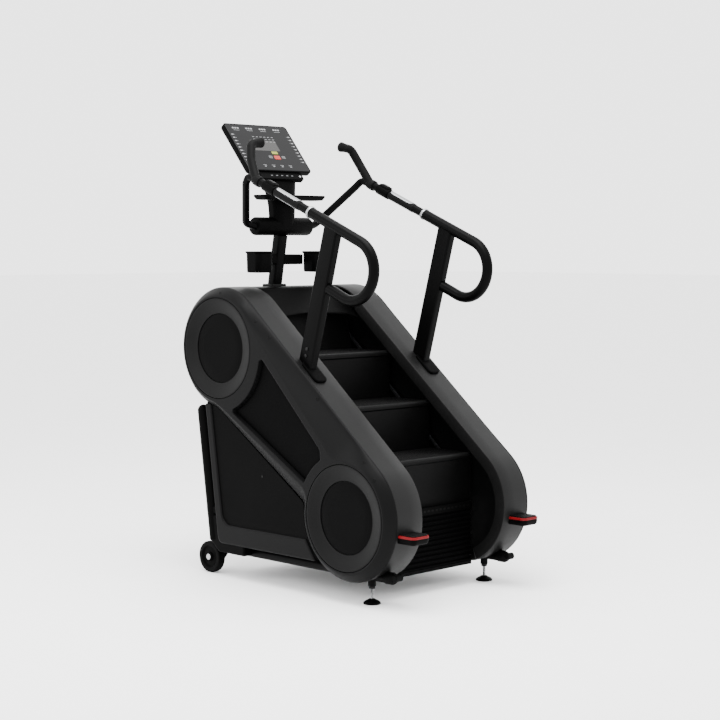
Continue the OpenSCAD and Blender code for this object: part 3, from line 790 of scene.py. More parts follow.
def turned_loop(profile, centre, axis=X_AXIS, count=160):
    """A closed (radius, height) loop turned round an axis, such as a ring."""
    points, _ = turned(profile, centre, axis, count)
    return grid(points.reshape(len(profile), count, 3), ring=True)


rings = joined(*[turned_loop(RING_PROFILE, disc_place(d)) for d in (UPPER, LOWER)])
caps = joined(*[turned(CAP_PROFILE, disc_place(d), count=128) for d in (UPPER, LOWER)])
piece("dished_rings", pair(rings), "ring_grey", stands_for=["disc_rings"])
piece("cap_faces", pair(caps), "cap_black", stands_for=["disc_caps"])

# %% [markdown]
# ## The base panels and front legs
# Below the web a flat panel closes each side. Its front and bottom edges are raised, with
# a rounded bevel that shows as a bright line. The panel's upper edge follows the shroud,
# so it reuses the stretch of the shroud's outline that it touches.

# %% Base panels
PANEL_X = 0.398


def nearest(points, target):
    return int(np.linalg.norm(points - np.array(target), axis=1).argmin())


def base_panel_outline():
    """Bottom edge, front edge, then back along the shroud, tucked 6 mm under it."""
    start, end = nearest(EDGE, (0.243, 0.150)), nearest(EDGE, (0.943, 0.747))
    shared = (EDGE - EDGE_OUT * 0.006)[start:end][::-1]
    front = rounded([shared[-1], (0.862, 0.150), shared[0]], 0.02, closed=False)
    return softened(evenly(np.concatenate([front, shared]), 0.004, closed=True), 0.003)


frame_edge = rounded([(0.250, 0.146), (0.862, 0.146), (0.944, 0.742), (0.905, 0.742),
                      (0.830, 0.230), (0.310, 0.230)],
                     [0.006, 0.03, 0.005, 0.006, 0.055, 0.006], count=10)
frame_edge = evenly(frame_edge, 0.005, closed=True)
flat_panel = slab(base_panel_outline(), [(0.002, PANEL_X), (0, PANEL_X + 0.002), (0, 0.4042),
                                         (0.002, 0.4052)])
raised = slab(frame_edge, [(0, 0.402), (0, 0.4068), (0.0010, 0.4088), (0.0034, 0.4108), (0.0080, 0.4120)])
screw = turned([(0, 0.404), (0.0045, 0.404), (0.0045, 0.4062), (0.003, 0.4066), (0.0025, 0.4056),
                (0, 0.4055)],
               np.array([0, 0.578 + FEET_Y, 0.46]), count=24)
piece("base_panel_faces", pair(flat_panel), "panel_black", stands_for=["base_panels"])
piece("base_panel_borders", pair(raised), "shroud_black")
piece("base_panel_screws", pair(screw), "bolt_dark")

# %% Front legs
LEG_R = 0.026
LEG_FOOT = np.array([0.385, 0.920, 0.250])
LEG_RUN = np.array([0, 71, 504]) / np.hypot(71, 504)
dome = np.linspace(0, np.pi / 2, 9)
leg_profile = np.concatenate([[[0, -0.10], [LEG_R - 0.004, -0.10], [LEG_R, -0.096]],
                              np.stack([LEG_R * np.cos(dome), 0.462 + LEG_R * np.sin(dome)], 1)])
leg = turned(leg_profile, LEG_FOOT + [0, FEET_Y, 0], LEG_RUN, 48)
fairing_edge = rounded([(0.700, 0.104), (0.868, 0.104), (0.918, 0.146), (0.946, 0.262), (0.700, 0.262)],
                       [0.01, 0.02, 0.02, 0.012, 0.01])
fairing = slab(evenly(fairing_edge, 0.005, closed=True), rim(0.328, 0.404, 0.009))
cuff_edge = rounded([(0.800, 0.265), (0.950, 0.265), (0.954, 0.300), (0.800, 0.300)], 0.012)
cuff = slab(evenly(cuff_edge, 0.005, closed=True), rim(0.340, 0.402, 0.009))
for side, turn in (("right", lambda p: p), ("left", mirrored)):
    piece(f"{side}_leg_tube", turn(joined(leg, cuff)), "panel_black", stands_for=[f"{side}_front_leg"])
    piece(f"{side}_wheel_fairing", turn(fairing), "panel_black")

# %% Shroud screws
def on_bevel(point):
    """Where a side-view point lies on the bevel, and the way out of the bevel there."""
    near = nearest(EDGE, point)
    share = np.linalg.norm(EDGE[near] - point) / BEVEL_W[near]
    x = BEVEL_X + BEVEL_H * (1 - (1 - share) ** 1.4)
    slope = 1.4 * (1 - share) ** 0.4 * BEVEL_H / BEVEL_W[near]
    out = np.array([1.0, *(EDGE_OUT[near] * slope)])
    return np.array([x, point[0] + FEET_Y, point[1]]), out / np.linalg.norm(out)


SCREW_PLACES = [(0.83, 1.222), (0.61, 1.108), (0.53, 1.042), (0.245, 0.806), (-0.030, 0.575),
                (-0.095, 0.512)]
SCREW = [(0, -0.002), (0.0075, -0.002), (0.0075, 0.0004), (0.0062, 0.0009), (0.0044, 0.0009),
         (0.0040, -0.0010), (0, -0.0012)]
screws = joined(*[turned(SCREW, *on_bevel(np.array(p)), count=20) for p in SCREW_PLACES])
BOLT = [(0, -0.002), (0.0080, -0.002), (0.0080, 0.0020), (0.0068, 0.0040), (0.0030, 0.0050), (0, 0.0052)]
bolts = joined(*[turned(BOLT, np.array([RAIL_X + 0.0195, y + FEET_Y, z]), count=24)
                 for y, z in ((0.355, 1.000), (0.362, 0.972))])
# The screw heads take the darker tread finish instead of their bolt finish: painted shade for the dark
# screw holes in the bevel.
piece("shroud_screws", pair(screws), "bolt_dark", stands_for=["fasteners"], looks="tread_black")
piece("post_bolts", pair(bolts), "bolt_dark")

# %% [markdown]
# ## The hood, the front cover and the grille
# Between the shrouds a bent sheet covers the top: it rises over the last step, runs level
# to the mast and rolls over the front. It is a profile carried across the machine. Its
# lower edge dips at both sides, so the stair opening has round corners.

# %% Hood and front cover
HOOD_X = 0.2438     # inside the shrouds' bands
WALL_X = 0.285      # between the shrouds' inner walls
GRILLE_X = 0.2425
SHEET = 0.004


def curtain(path, half, thickness, dip=0.0, count=61):
    """A side-view path carried from -half to half, with thickness below it. At the sides
    the first stretch is pulled back along the path by dip times the fourth power of x."""
    path = evenly(path, 0.008)
    run = np.gradient(path, axis=0)
    run /= np.linalg.norm(run, axis=1, keepdims=True)
    down = np.stack([run[:, 1], -run[:, 0]], 1)
    across = np.linspace(-1, 1, count)
    fade = np.clip(1 - np.arange(len(path)) / 16, 0, 1)
    pull = dip * fade[:, None] * np.abs(across) ** 5
    top = path[:, None] - run[0] * pull[..., None]
    sheets = [top, top + down[:, None] * thickness]
    x = np.broadcast_to(across * half, top.shape[:2])
    faces = [np.concatenate([x[..., None], s + [FEET_Y, 0]], 2) for s in sheets]
    return grid(np.concatenate([faces[0], faces[1][:, ::-1]], 1))


hood_path = rounded([(0.700, 1.130), (0.832, 1.2395), (0.985, 1.2395), (1.012, 1.224), (1.022, 1.186)],
                    [0, 0.05, 0.04, 0.02, 0], closed=False)
cover_path = arc(UPPER, 0.2550, 44, -26, 30)
lower_path = np.array([(1.0735, 0.882), (0.934, 0.152)])
piece("bent_hood", curtain(hood_path, HOOD_X, SHEET, dip=0.045), "panel_black", stands_for=["hood"])
cover = joined(curtain(cover_path, HOOD_X, SHEET), curtain(lower_path, WALL_X, SHEET))
piece("front_sheet", cover, "panel_black", stands_for=["front_cover"])


# %% Rear grille
def louvres(z0, z1, count, depth):
    """A closed side profile: a saw edge of sloping slats at the back, flat in front."""
    step = (z1 - z0) / count
    foot = z0 + step * np.arange(count)
    tooth = np.array([(0.0, 0.0), (-depth, 0.25), (-depth * 0.94, 0.42), (0.0, 0.72)])
    slats = np.stack([np.broadcast_to(tooth[:, 0], (count, 4)),
                      foot[:, None] + step * tooth[None, :, 1]], 2).reshape(-1, 2)
    return np.concatenate([[(0.004, z0)], slats, [(0.0, z1), (0.004, z1)]])


def extruded(section, x0, x1):
    """A side-view section with flat ends at x0 and x1, each end guarded by a close row."""
    places = [x0, x0 + 1e-4, x1 - 1e-4, x1]
    return grid(np.stack([side_view(section, x) for x in places]))


grille = louvres(0.100, 0.322, 11, 0.0095) - [0.0045, 0]
frame_bar = rounded([(-0.014, 0.322), (-0.002, 0.322), (-0.002, 0.352), (-0.014, 0.352)], 0.002)
foot_bar = rounded([(-0.012, 0.086), (-0.001, 0.086), (-0.001, 0.102), (-0.012, 0.102)], 0.002)
piece("grille_louvres", extruded(grille, -GRILLE_X, GRILLE_X), "recess_black", stands_for=["rear_grille"])
piece("grille_bars", joined(extruded(frame_bar, -GRILLE_X, GRILLE_X),
                            extruded(foot_bar, -GRILLE_X, GRILLE_X)), "panel_black")
slot_outline = box_outline(0.014, 0.008, 0.003, 4)
slots = [slab(slot_outline + [0.024 * k, 0.338], [(0, 0), (0, 0.0006)],
              plane_at((0, FEET_Y - 0.014, 0), (1, 0, 0), (0, 0, 1))) for k in range(-9, 10)]
piece("grille_slots", joined(*slots), "tread_black", crease=60)

# %% [markdown]
# ## Entry steps
# A small step sticks out behind each shroud. It is one outline drawn at several heights: a
# black body, a red trim round the top edge, and a ribbed pad let into it.

# %% Entry steps
PLAN = plane_at((0, FEET_Y, 0), (1, 0, 0), (0, 1, 0))
entry = evenly(box_outline(0.100, 0.114, 0.022, 10), 0.004, closed=True) + [0.330, -0.210]
body = slab(entry, [(0.016, 0.2662), (0.008, 0.2680), (0.003, 0.2740), (0.001, 0.2820),
                    (0.001, 0.2912)], PLAN)
trim = slab(entry, [(0.004, 0.2908), (0.0006, 0.2914), (0, 0.2930), (0, 0.2990), (0.0012, 0.3006),
                    (0.0060, 0.3009)], PLAN)
pad = slab(entry, [(0.0058, 0.3000), (0.0058, 0.3040), (0.0072, 0.3055), (0.0100, 0.3058)], PLAN)
ribs = [slab(box_outline(0.078, 0.003, 0.0012, 3) + [0.330, y],
             [(0, 0.305), (0, 0.3062), (0.0008, 0.3066)], PLAN)
        for y in np.arange(-0.255, -0.190, 0.007)]
piece("entry_step_bodies", pair(body), "panel_black", stands_for=["entry_steps"])
piece("entry_step_trims", pair(trim), "trim_red", stands_for=["entry_trims"])
piece("entry_step_pads", pair(joined(pad, *ribs)), "tread_black")

# %% [markdown]
# ## The stairs
# Each step is one closed side profile carried across the machine: a rounded nose, a tread
# with fine ribs along the nose, a riser below. The four steps on the climbing side move as
# one body. A nose strip in a lighter grey is painted highlight: it stands for the light that
# the rounded noses catch, as they do on the real one.

# %% One step's profile
RISE = 0.204
RUN = 0.239
FIRST_NOSE = np.array([0.012, 0.553])
TREAD_T = 0.022
TREAD_HALF = 0.270
NOSE_R = 0.010


def step_profile():
    """Nose, ribbed tread, back edge, underside and riser, with the nose as origin."""
    foot = np.arange(0.030, RUN - 0.014, 0.0075)
    rib = np.array([(0.0, 0.0), (0.0012, -0.0016), (0.0036, -0.0016), (0.0048, 0.0)])
    ribs = (foot[:, None, None] * [1, 0] + rib[None]).reshape(-1, 2)
    nose = arc((NOSE_R, -NOSE_R), NOSE_R, 180, 90, 7)
    back = [(RUN - 0.002, 0), (RUN - 0.002, -TREAD_T), (0.018, -TREAD_T), (0.016, -RISE - 0.012),
            (0.006, -RISE - 0.012), (0.006, -0.026), (0.0, -0.020)]
    return np.concatenate([nose, ribs, back])


def placed_step(profile, k, lean=0.0):
    """The profile at step k; the top step leans forward about its riser's foot."""
    pivot = np.array([0.006, -RISE])
    c, s = math.cos(math.radians(lean)), math.sin(math.radians(lean))
    turned_profile = (profile - pivot) @ np.array([[c, s], [-s, c]]) + pivot
    return turned_profile + FIRST_NOSE + k * np.array([RUN, RISE])


def flight(profile, half):
    return joined(*[extruded(placed_step(profile, k, -12.0 if k == 3 else 0.0), -half, half)
                    for k in range(4)])


side_plate = np.array([(0.008, -0.010), (RUN - 0.002, -0.010), (RUN - 0.002, -TREAD_T - 0.008),
                       (0.016, -RISE + 0.004), (0.008, -RISE + 0.004)])
cheeks = [extruded(placed_step(side_plate, k, -12.0 if k == 3 else 0.0), x0, x0 + 0.006)
          for k in range(4) for x0 in (-TREAD_HALF, TREAD_HALF - 0.006)]
# The nose strip is a thin shell round each nose in the lighter ring grey: painted highlight along the
# rounded noses.
nose_highlight_strip = np.concatenate([arc((NOSE_R, -NOSE_R), NOSE_R + 0.0006, 188, 88, 12),
                             arc((NOSE_R + 0.013, -0.0020), 0.0020, 82, 10, 3),
                             arc((NOSE_R, -NOSE_R), NOSE_R - 0.0015, 92, 186, 12)])
steps = joined(flight(step_profile(), TREAD_HALF), *cheeks)
piece("climbing_treads", steps, "tread_black", "climbing_flight", ["climbing_steps"], crease=30)
# Painted highlight: the noses' lighter grey stands for the light that the rounded edges catch.
piece("climbing_nose_highlights", flight(nose_highlight_strip, TREAD_HALF - 0.0005), "ring_grey", "climbing_flight")

# %% [markdown]
# ## Posts and handrails
# Two posts carry the handrails. A handrail is one tube: it runs up to the horns, thins
# where the grips are, bends round a loop and comes back to its post. A tube is a circle
# carried along a path, so the path is built first and the thinning is a list of radii.

# %% Posts and their collars
RAIL_SLOPE = math.radians(22.7)
LOOP = np.array([0.112, 1.323])
LOOP_R = 0.122
TUBE_R = 0.0225
THIN_R = 0.018
COLLAR_Y = 0.352
POST_FOOT = np.array([0.367, 0.952])
POST_HEAD = np.array([0.222, 1.483])
RAIL_RUN = np.array([math.cos(RAIL_SLOPE), math.sin(RAIL_SLOPE)])
RAIL_UP = np.array([-RAIL_RUN[1], RAIL_RUN[0]])


def rail_at(y):
    """The side-view point of the rail's straight stretch at a distance y from the feet."""
    return np.array([y, LOOP[1] + LOOP_R / RAIL_RUN[0] + (y - LOOP[0]) * math.tan(RAIL_SLOPE)])


post_run = (POST_HEAD - POST_FOOT) / np.linalg.norm(POST_HEAD - POST_FOOT)
post_path = np.linspace(POST_FOOT - post_run * 0.14, POST_HEAD + post_run * 0.011, 12)
post = sweep(side_view(post_path, RAIL_X), box_outline(0.078, 0.039, 0.008, 8))
top_point = LOWER + ALONG * ((np.array([0.345, 0.875]) - LOWER) @ ALONG) + ABOVE * SHROUD_R
collar = slab(evenly(box_outline(0.066, 0.122, 0.020, 10), 0.003, closed=True),
              [(0.001, -0.002), (0, 0), (0, 0.0075), (0.0016, 0.0100), (0.0060, 0.0112)],
              plane_at((RAIL_X, top_point[0] + FEET_Y + 0.008, top_point[1] + 0.0066), (1, 0, 0),
                       (0, *ALONG)))
sleeve = sweep(side_view(np.linspace(POST_FOOT - post_run * 0.075, POST_FOOT - post_run * 0.022, 8),
                         RAIL_X),
               box_outline(0.086, 0.047, 0.012, 8), size=[1, 1, 1, 1, 1, 1, 0.985, 0.95])
piece("post_tubes", pair(post), "frame_black", stands_for=["posts"])
piece("post_shoes", pair(joined(collar, sleeve)), "recess_black", stands_for=["post_collars"])

# %% Handrail tubes
ROUND = circle(1, 40)
POST_LEG = 0.092


def rail_path():
    """From the horn's foot down the slope, half round the loop, and up to the post."""
    top = LOOP + RAIL_UP * LOOP_R
    low = LOOP - RAIL_UP * LOOP_R
    start = math.degrees(math.atan2(RAIL_UP[1], RAIL_UP[0]))
    straight = np.linspace(rail_at(0.683), top, 40)
    bend = arc(LOOP, LOOP_R, start, start + 180, 60)
    leg = np.linspace(low, low + RAIL_RUN * POST_LEG, 12)
    return evenly(np.concatenate([straight, bend, leg]), 0.006)


path = rail_path()
thin = path[:, 0] > COLLAR_Y
radius = softened(np.where(thin, THIN_R, TUBE_R)[:, None], 0.004, 0.006)[:, 0]
radius = np.where(np.arange(len(path)) < 3, THIN_R,
                  np.where(np.arange(len(path)) > len(path) - 4, TUBE_R, radius))
rail = sweep(side_view(path, RAIL_X), ROUND, size=radius)


def on_rail(y, x=RAIL_X):
    """The point of the rail's axis at y, and the rail's direction there."""
    return np.array([x, rail_at(y)[0] + FEET_Y, rail_at(y)[1]]), np.array([0, *RAIL_RUN])


ring = turned_loop([(THIN_R, -0.006), (0.0240, -0.006), (0.0252, -0.0045), (0.0254, 0),
                    (0.0250, 0.004), (0.0225, 0.007), (THIN_R, 0.007)], *on_rail(COLLAR_Y), count=48)
for side, turn in (("right", lambda p: p), ("left", mirrored)):
    piece(f"{side}_rail_tube", turn(rail), "frame_black", stands_for=[f"{side}_handrail"])
piece("rail_rings", pair(ring), "contact_steel")

# %% Grips, contact strips and button pods
GRIP_START, GRIP_END = 0.412, 0.562
grip = turned_loop([(0.0176, 0), (0.0192, 0.001), (0.0198, 0.004), (0.0198, 0.155), (0.0192, 0.160),
                    (0.0176, 0.161)], *on_rail(GRIP_START), count=56)


def strip(y0, y1, middle_angle, half_angle, radius, thickness):
    """A curved steel strip on the grip: an ellipse-ended patch of a tube, given thickness."""
    along = np.linspace(0, 1, 41)
    taper = np.clip(1 - np.abs(2 * along - 1) ** 10, 0.02, 1) ** 0.5
    angle = np.radians(middle_angle + half_angle * np.linspace(-1, 1, 21)[None] * taper[:, None])
    centre = np.linspace(rail_at(y0), rail_at(y1), 41)

    def sheet(r):
        across, up = r * np.cos(angle), r * np.sin(angle)
        points = centre[:, None] + up[..., None] * RAIL_UP
        return np.concatenate([(RAIL_X + across)[..., None], points + [FEET_Y, 0]], 2)
    return grid(np.concatenate([sheet(radius), sheet(radius + thickness)[:, ::-1]], 1))


strips = [strip(0.424, 0.556, angle, 46, 0.0192, 0.0013) for angle in (90, 270)]
pod = turned_loop([(0.0176, 0), (0.0205, 0.0005), (0.0226, 0.003), (0.0232, 0.008), (0.0232, 0.068),
                   (0.0226, 0.074), (0.0205, 0.0770), (0.0176, 0.0775)], *on_rail(GRIP_END), count=56)
POD_Y = 0.596


def rail_plane(y):
    """A placing function on the rail's top side: across, along the rail, and up from it."""
    return plane_at(on_rail(y)[0], (1, 0, 0), (0, *RAIL_RUN))


bezel = slab(evenly(box_outline(0.030, 0.062, 0.009, 8), 0.002, closed=True),
             [(0, 0.012), (0, 0.0245), (0.0010, 0.0268), (0.0030, 0.0282), (0.0045, 0.0284),
              (0.0052, 0.0278)],
             rail_plane(POD_Y))
cap = slab(evenly(box_outline(0.018, 0.040, 0.005, 8), 0.0015, closed=True),
           [(0.0004, 0.0245), (0.0004, 0.0298), (0.0012, 0.0309), (0.0030, 0.0314), (0.0060, 0.0315)],
           rail_plane(POD_Y))
piece("rubber_grips", pair(grip), "grip_rubber")
piece("contact_strips", pair(joined(*strips)), "contact_steel", stands_for=["contact_plates"])
piece("button_pods", pair(joined(pod, bezel)), "panel_black", stands_for=["rail_sleeves"])
for side, turn in (("right", lambda p: p), ("left", mirrored)):
    piece(f"{side}_button_cap", turn(cap), "ring_grey", f"{side}_rail_button", [f"{side}_rail_button"])


# %% Horns and front tubes
def bent(corners, radius, bend, step=0.004, head=0.0, flare=1.0):
    """A tube along rounded corners. head makes a dome that long at its end, and flare is
    how much wider the last stretch grows."""
    path = evenly(rounded(np.array(corners) + [0, FEET_Y, 0], bend, closed=False, count=14), step)
    left = np.linalg.norm(np.diff(path, axis=0), axis=1)[::-1].cumsum()[::-1]
    left = np.append(left, 0.0)
    size = radius * (1 + (flare - 1) * np.clip(1 - (left - 0.012) / 0.028, 0, 1) ** 1.5)
    if head:
        size = size * np.sqrt(np.clip(1 - (1 - np.clip(left / head, 0, 1)) ** 2, 0, 1))
    return sweep(path, ROUND, side=np.array([0.35, -0.9, 0.25]), size=size)


horn = bent([(RAIL_X, 0.690, 1.702), (0.321, 0.738, 1.783), (0.296, 0.767, 1.850),
             (0.2280, 0.7715, 1.8600)],
            0.0192, [0, 0.05, 0.030, 0], head=0.010, flare=1.17)
cuff = turned_loop([(0.0176, -0.012), (0.0225, -0.010), (0.0235, 0), (0.0225, 0.022), (0.0200, 0.030),
                    (0.0176, 0.031)],
                   *on_rail(0.668), count=48)
front = bent([(RAIL_X, 0.676, 1.6912), (0.336, 0.738, 1.712), (0.326, 0.766, 1.684), (0.207, 0.9055, 1.516),
              (0.150, 0.8960, 1.5020)], 0.0160, [0, 0.030, 0.035, 0.035, 0])
for side, turn in (("right", lambda p: p), ("left", mirrored)):
    piece(f"{side}_horn_grip", turn(horn), "grip_rubber", stands_for=[f"{side}_horn"])
piece("horn_cuffs", pair(cuff), "grip_rubber")
piece("front_bent_tubes", pair(front), "frame_black", stands_for=["front_tubes"])

# %% [markdown]
# ## Mast, neck, tray and cup holders
# The mast rises from the hood to a round barrel, and the neck grows wider from the barrel
# to the console. The neck is a loft: the same round box drawn at rising heights, its width
# and depth curving from one to the next. The cup holders use a profile that goes up the
# outside, over the rim and down the inside, so they are really hollow.

# %% Mast
MAST_FOOT = np.array([0.952, 1.240])
MAST_HEAD = np.array([0.911, 1.466])
mast_path = np.linspace(MAST_FOOT - (0, 0.004), MAST_HEAD, 8)
mast = sweep(side_view(mast_path, 0.0), box_outline(0.051, 0.054, 0.014, 8))
flange_edge = evenly(box_outline(0.092, 0.086, 0.024, 8), 0.003, closed=True) + [0, MAST_FOOT[0] + 0.001]
flange = slab(flange_edge, [(0, 1.2390), (0, 1.2460), (0.0015, 1.2490), (0.0050, 1.2500)], PLAN)
piece("mast_tube", mast, "frame_black", stands_for=["mast"])
piece("mast_flange", flange, "ring_grey")

# %% Neck
barrel = turned([(0, -0.160), (0.0320, -0.160), (0.0375, -0.1575), (0.0400, -0.1520), (0.0400, 0.1520),
                 (0.0375, 0.1575), (0.0320, 0.160), (0,
                                                     0.160)], np.array([0, 0.905 + FEET_Y,
                                                                        1.505]), count=64)
share = np.linspace(0, 1, 25)
height = 1.502 + 0.203 * share
width = 0.118 + 0.070 * share**2.2
depth = 0.080 - 0.024 * share**1.5
centre = 0.905 - 0.006 * np.sin(np.pi * share) + 0.020 * share**2
unit = evenly(box_outline(2.0, 2.0, 0.7, 10), 0.06, closed=True) / 2
rows = np.stack([unit[None, :, 0] * width[:, None],
                 unit[None, :, 1] * depth[:, None] + centre[:, None] + FEET_Y,
                 np.broadcast_to(height[:, None], (25, len(unit)))], 2)
piece("neck_shell", joined(barrel, grid(rows)), "panel_black", stands_for=["neck"])

# %% Tray and cup holders
tray_edge = evenly(rounded([(0.178, 0.798), (0.180, 0.902), (-0.180, 0.902), (-0.178, 0.798)],
                           [0.022, 0.026, 0.026, 0.022], count=10), 0.004, closed=True)
tray = slab(tray_edge, [(0.030, 1.6182), (0.012, 1.6200), (0.001, 1.6330), (0, 1.6360), (0.0012, 1.6400),
                        (0.0040, 1.6410), (0.0070, 1.6400), (0.0090, 1.6370), (0.0200, 1.6365)], PLAN)
cup_edge = evenly(box_outline(0.104, 0.104, 0.030, 12), 0.003, closed=True) + [0.168, 0.862]
CUP = [(0.020, 1.3022), (0.0100, 1.3035), (0.0070, 1.3080), (0.0052, 1.3860), (0.0010, 1.3880),
       (0, 1.3900), (0, 1.3940), (0.0016, 1.3958), (0.0080, 1.3958), (0.0098, 1.3940), (0.0102, 1.3120),
       (0.0160, 1.3085)]
cups = slab(cup_edge, CUP, PLAN)
ARM = box_outline(0.046, 0.044, 0.008, 6)
arm_path = np.array([(0.020, 0.930, 1.359), (0.060, 0.929, 1.359), (0.100, 0.924, 1.359),
                     (0.126, 0.918, 1.359)])
arm = sweep(arm_path + [0, FEET_Y, 0], ARM, side=np.array([0, 1.0, 0]), size=[1, 1, 0.99, 0.97])
piece("wedge_tray", tray, "panel_black", stands_for=["tray"])
piece("cup_shells", pair(joined(cups, arm)), "panel_black", stands_for=["cup_holders"])

# %% [markdown]
# ## The console
# The console is a slab with rounded edges on a plane that leans toward the user. The glass
# is let into it, and everything printed on the glass is a thin patch of its own, because a
# patch stays sharp from any distance. The marks are generic: dots, bars and short ticks.

# %% Housing and glass
TILT = math.radians(50)
CONSOLE = plane_at((0, 0.994 + FEET_Y, 1.855), (1, 0, 0), (0, math.cos(TILT), math.sin(TILT)))
face_edge = evenly(box_outline(0.372, 0.278, 0.014, 10), 0.004, closed=True)
glass_edge = evenly(box_outline(0.361, 0.267, 0.0095, 10), 0.004, closed=True)
lower_edge = evenly(box_outline(0.250, 0.050, 0.012, 10), 0.003, closed=True) + [0, -0.153]
housing = slab(face_edge, [(0.012, -0.0300), (0.003, -0.0275), (0, -0.0220), (0, -0.0025),
                           (0.0010, -0.0006),
                           (0.0030, 0.0), (0.0050, -0.0002), (0.0054, -0.0012)], CONSOLE)
chin = slab(lower_edge, [(0.003, -0.0298), (0, -0.0280), (0, -0.0110), (0.0015, -0.0090),
                         (0.0050, -0.0082)], CONSOLE)
glass = slab(glass_edge, [(0.001, -0.0020), (0, -0.0015), (0, -0.0008), (0.0008, -0.0004)], CONSOLE)
piece("console_shell", joined(housing, chin), "panel_black", stands_for=["console_housing"])
piece("console_window", glass, "screen_glass", stands_for=["console_glass"])


# %% Printed marks
def patch(x, y, width, height, top=0.00005, low=-0.0006):
    """A thin rectangle on the console's plane, as eight corners and six faces."""
    w, h = width / 2, height / 2
    corners = np.array([(x - w, y - h), (x + w, y - h), (x + w, y + h), (x - w, y + h)])
    return grid(np.stack([CONSOLE(corners, low), CONSOLE(corners, top)]))


marks = []
for group_x in (-0.128, -0.050, 0.030, 0.112):
    marks += [patch(group_x + dx, 0.112, 0.010, 0.008) for dx in (-0.014, 0.0, 0.014)]
    marks += [patch(group_x, 0.099, 0.034, 0.0016)]
for column_x in (-0.166, 0.166):
    for row in range(9):
        marks += [patch(column_x, 0.072 - 0.019 * row, 0.012, 0.0050),
                  patch(column_x * 0.93, 0.072 - 0.019 * row, 0.004, 0.0016)]
for row in range(3):
    marks += [patch(-0.050 + 0.022 * k, 0.064 - 0.014 * row, 0.012, 0.0022) for k in range(6)]
marks += [patch(-0.075 + 0.050 * k, -0.104, 0.020, 0.0018) for k in range(4)]
marks += [patch(-0.075 + 0.050 * k, -0.112, 0.010, 0.0040) for k in range(4)]
piece("console_marks", joined(*marks), "key_grey", crease=30, looks="printed_white")
screen = slab(box_outline(0.150, 0.062, 0.004, 5) + [-0.010, 0.012],
              [(0, -0.0006), (0, 0.00002)], CONSOLE)
piece("display_field", screen, "screen_glass", crease=30, looks="display_dim")
chin_marks = [patch(-0.060 + 0.030 * k, -0.158, 0.011, 0.0040, -0.0079, -0.0090) for k in range(5)]
piece("chin_marks", joined(*chin_marks), "key_grey", crease=30)
jack_place = CONSOLE(np.array([[0.106, -0.160]]), -0.0085)[0]
out_of_face = np.array([0, -math.sin(TILT), math.cos(TILT)])
jack = turned([(0, 0), (0.0055, 0), (0.0055, 0.0012), (0.0042, 0.0016), (0.0030, 0.0012),
               (0.0024, 0.0004), (0, 0.0003)],
              jack_place, out_of_face, 24)
piece("chin_socket", jack, "bright_steel")

# %% Keys
KEYS = {"stop": ("key_red", 0.034, 0.022), "start": ("key_yellow", 0.034, 0.016),
        "level_up": ("key_grey", 0.020, 0.016), "level_down": ("key_grey", 0.020, 0.016)}
for name, (slot, width, height) in KEYS.items():
    place = middle(f"{name}_key")
    key_edge = evenly(box_outline(width, height, 0.003, 6), 0.001, closed=True)
    origin = place - out_of_face * 0.0004
    key_plane = plane_at(origin, (1, 0, 0), (0, math.cos(TILT), math.sin(TILT)))
    crown = slab(key_edge, [(0.0003, -0.0016), (0, -0.0012), (0, 0.0012), (0.0005, 0.0018),
                            (0.0020, 0.0021),
                            (0.0050, 0.0022)], key_plane)
    piece(f"{name}_key_cap", crown, slot, f"{name}_key", [f"{name}_key"])

# %% [markdown]
# ## Rails, wheels and feet
# The machine stands on two base rails with rubber ends, a transport wheel in front of each
# and a levelling foot behind. All of them are turned parts.

# %% Base rails
BASE_R = 0.0225
RAIL_Z = 0.117
y_axis = np.array([0, 1.0, 0])
rail_foot = np.array([RAIL_X, -0.090 + FEET_Y, RAIL_Z])
base_rail = turned([(0, 0), (BASE_R - 0.001, 0), (BASE_R, 0.001), (BASE_R, 0.978),
                    (BASE_R - 0.001, 0.979), (0, 0.979)],
                   rail_foot, y_axis, 48)
boss = turned([(0, 0.072), (0.015, 0.072), (0.016, 0.074), (0.016, 0.104), (0, 0.104)],
              np.array([RAIL_X, FEET_Y, 0]), np.array([0, 0, 1.0]), 40)
ball_t = np.linspace(0, np.pi / 2, 9)
end_cap = turned(np.concatenate([np.stack([0.0245 * np.sin(ball_t), -0.022 - 0.0245 * np.cos(ball_t)], 1),
                                 [(0.0248, 0.004), (0.0236, 0.006), (0, 0.006)]]), rail_foot, y_axis, 48)
lower_bumper = turned([(0, -0.020), (0.0110, -0.020), (0.0140, -0.017), (0.0140, 0.017),
                       (0.0110, 0.020), (0, 0.020)],
                      np.array([0.336, -0.140 + FEET_Y, 0.122]), count=40)
piece("base_rail_tubes", pair(joined(base_rail, boss)), "frame_black", stands_for=["base_rails"])
piece("rail_end_rubbers", pair(joined(end_cap, lower_bumper)), "tyre_black", stands_for=["rail_end_caps"])

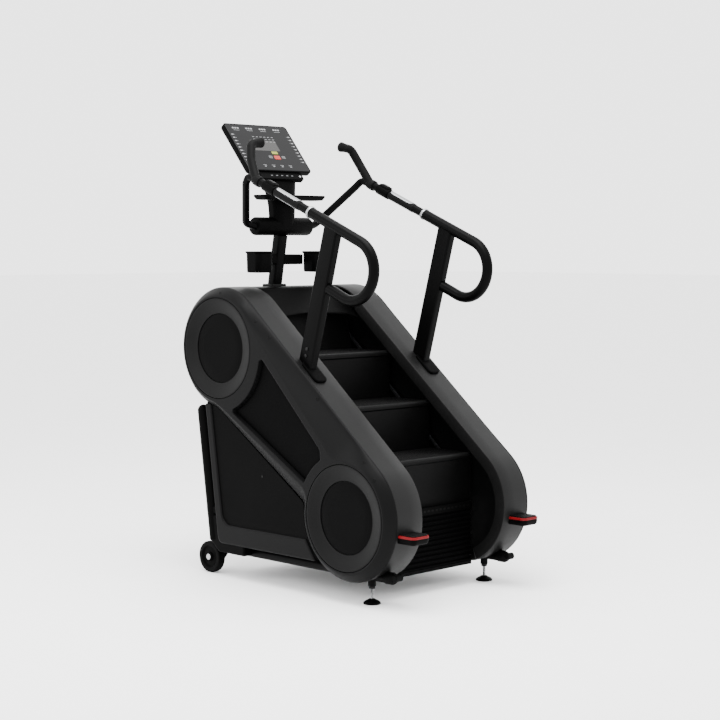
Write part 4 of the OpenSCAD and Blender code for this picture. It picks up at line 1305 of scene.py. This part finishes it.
# %% Wheels
WHEEL = np.array([0.345, 0.960 + FEET_Y, 0.0685])
TYRE = [(0.0500, 0.002), (0.0640, 0.0), (0.0668, 0.0015), (0.0682, 0.0050), (0.0685, 0.0100),
        (0.0685, 0.0260),
        (0.0682, 0.0310), (0.0668, 0.0345), (0.0640, 0.0360), (0.0500, 0.0340)]
HUB = [(0.0083, 0.0), (0.0190, 0.0), (0.0200, 0.0020), (0.0215, 0.0060), (0.0440, 0.0085), (0.0500, 0.0040),
       (0.0502, 0.0320), (0.0440, 0.0275), (0.0215, 0.0300), (0.0200, 0.0340), (0.0190,
                                                                                0.0360), (0.0083,
                                                                                          0.0360)]
AXLE = [(0, -0.027), (0.0079, -0.027), (0.0079, 0.0370), (0.0130, 0.0370), (0.0130, 0.0392),
        (0.0112, 0.0408), (0, 0.0410)]
for side, turn in (("right", lambda p: p), ("left", mirrored)):
    piece(f"{side}_tyre", turn(turned_loop(TYRE, WHEEL, count=96)), "tyre_black", f"{side}_wheel",
          [f"{side}_wheel"])
    piece(f"{side}_hub", turn(turned_loop(HUB, WHEEL, count=72)), "panel_black", f"{side}_wheel")
bracket_edge = rounded([(0.889, 0.098), (0.935, 0.045), (0.985, 0.045), (0.985, 0.085), (0.925, 0.136),
                        (0.889, 0.136)],
                       [0.002, 0.012, 0.012, 0.012, 0.010, 0.002])
bracket = slab(evenly(bracket_edge, 0.003, closed=True), rim(0.320, 0.330, 0.0015, 3))
piece("wheel_axle_pins", pair(turned(AXLE, WHEEL, count=40)), "bright_steel", stands_for=["wheel_axles"])
piece("wheel_brackets", pair(bracket), "frame_black")

# %% Levelling feet
FOOT = [(0, 0.0), (0.0330, 0.0), (0.0350, 0.0015), (0.0350, 0.0055), (0.0335, 0.0080), (0.0280, 0.0125),
        (0.0200, 0.0165), (0.0140, 0.0195), (0.0120, 0.0215), (0.0090, 0.0225), (0, 0.0225)]
thread_z = np.linspace(0.022, 0.098, 77)
stud_profile = np.stack([0.0057 + 0.0003 * np.where(np.arange(77) % 2 == 0, 1, -1), thread_z], 1)
stud_profile = np.concatenate([[(0, 0.022)], stud_profile, [(0, 0.098)]])
up = np.array([0, 0, 1.0])
foot_place = np.array([RAIL_X, FEET_Y, 0])
NUT = [(0.0061, 0.0617), (0.0118, 0.0617), (0.0130, 0.0625), (0.0130, 0.0709), (0.0118, 0.0717),
       (0.0061, 0.0717)]
for side, turn in (("right", lambda p: p), ("left", mirrored)):
    piece(f"{side}_foot_pad", turn(turned(FOOT, foot_place, up, 64)), "panel_black", f"{side}_foot",
          [f"{side}_foot"])
    piece(f"{side}_foot_stud", turn(turned(stud_profile, foot_place, up, 24)), "bright_steel",
          f"{side}_foot")
piece("lock_nuts", pair(turned_loop(NUT, foot_place, up, 6)), "bolt_dark", stands_for=["foot_nuts"],
      crease=25)
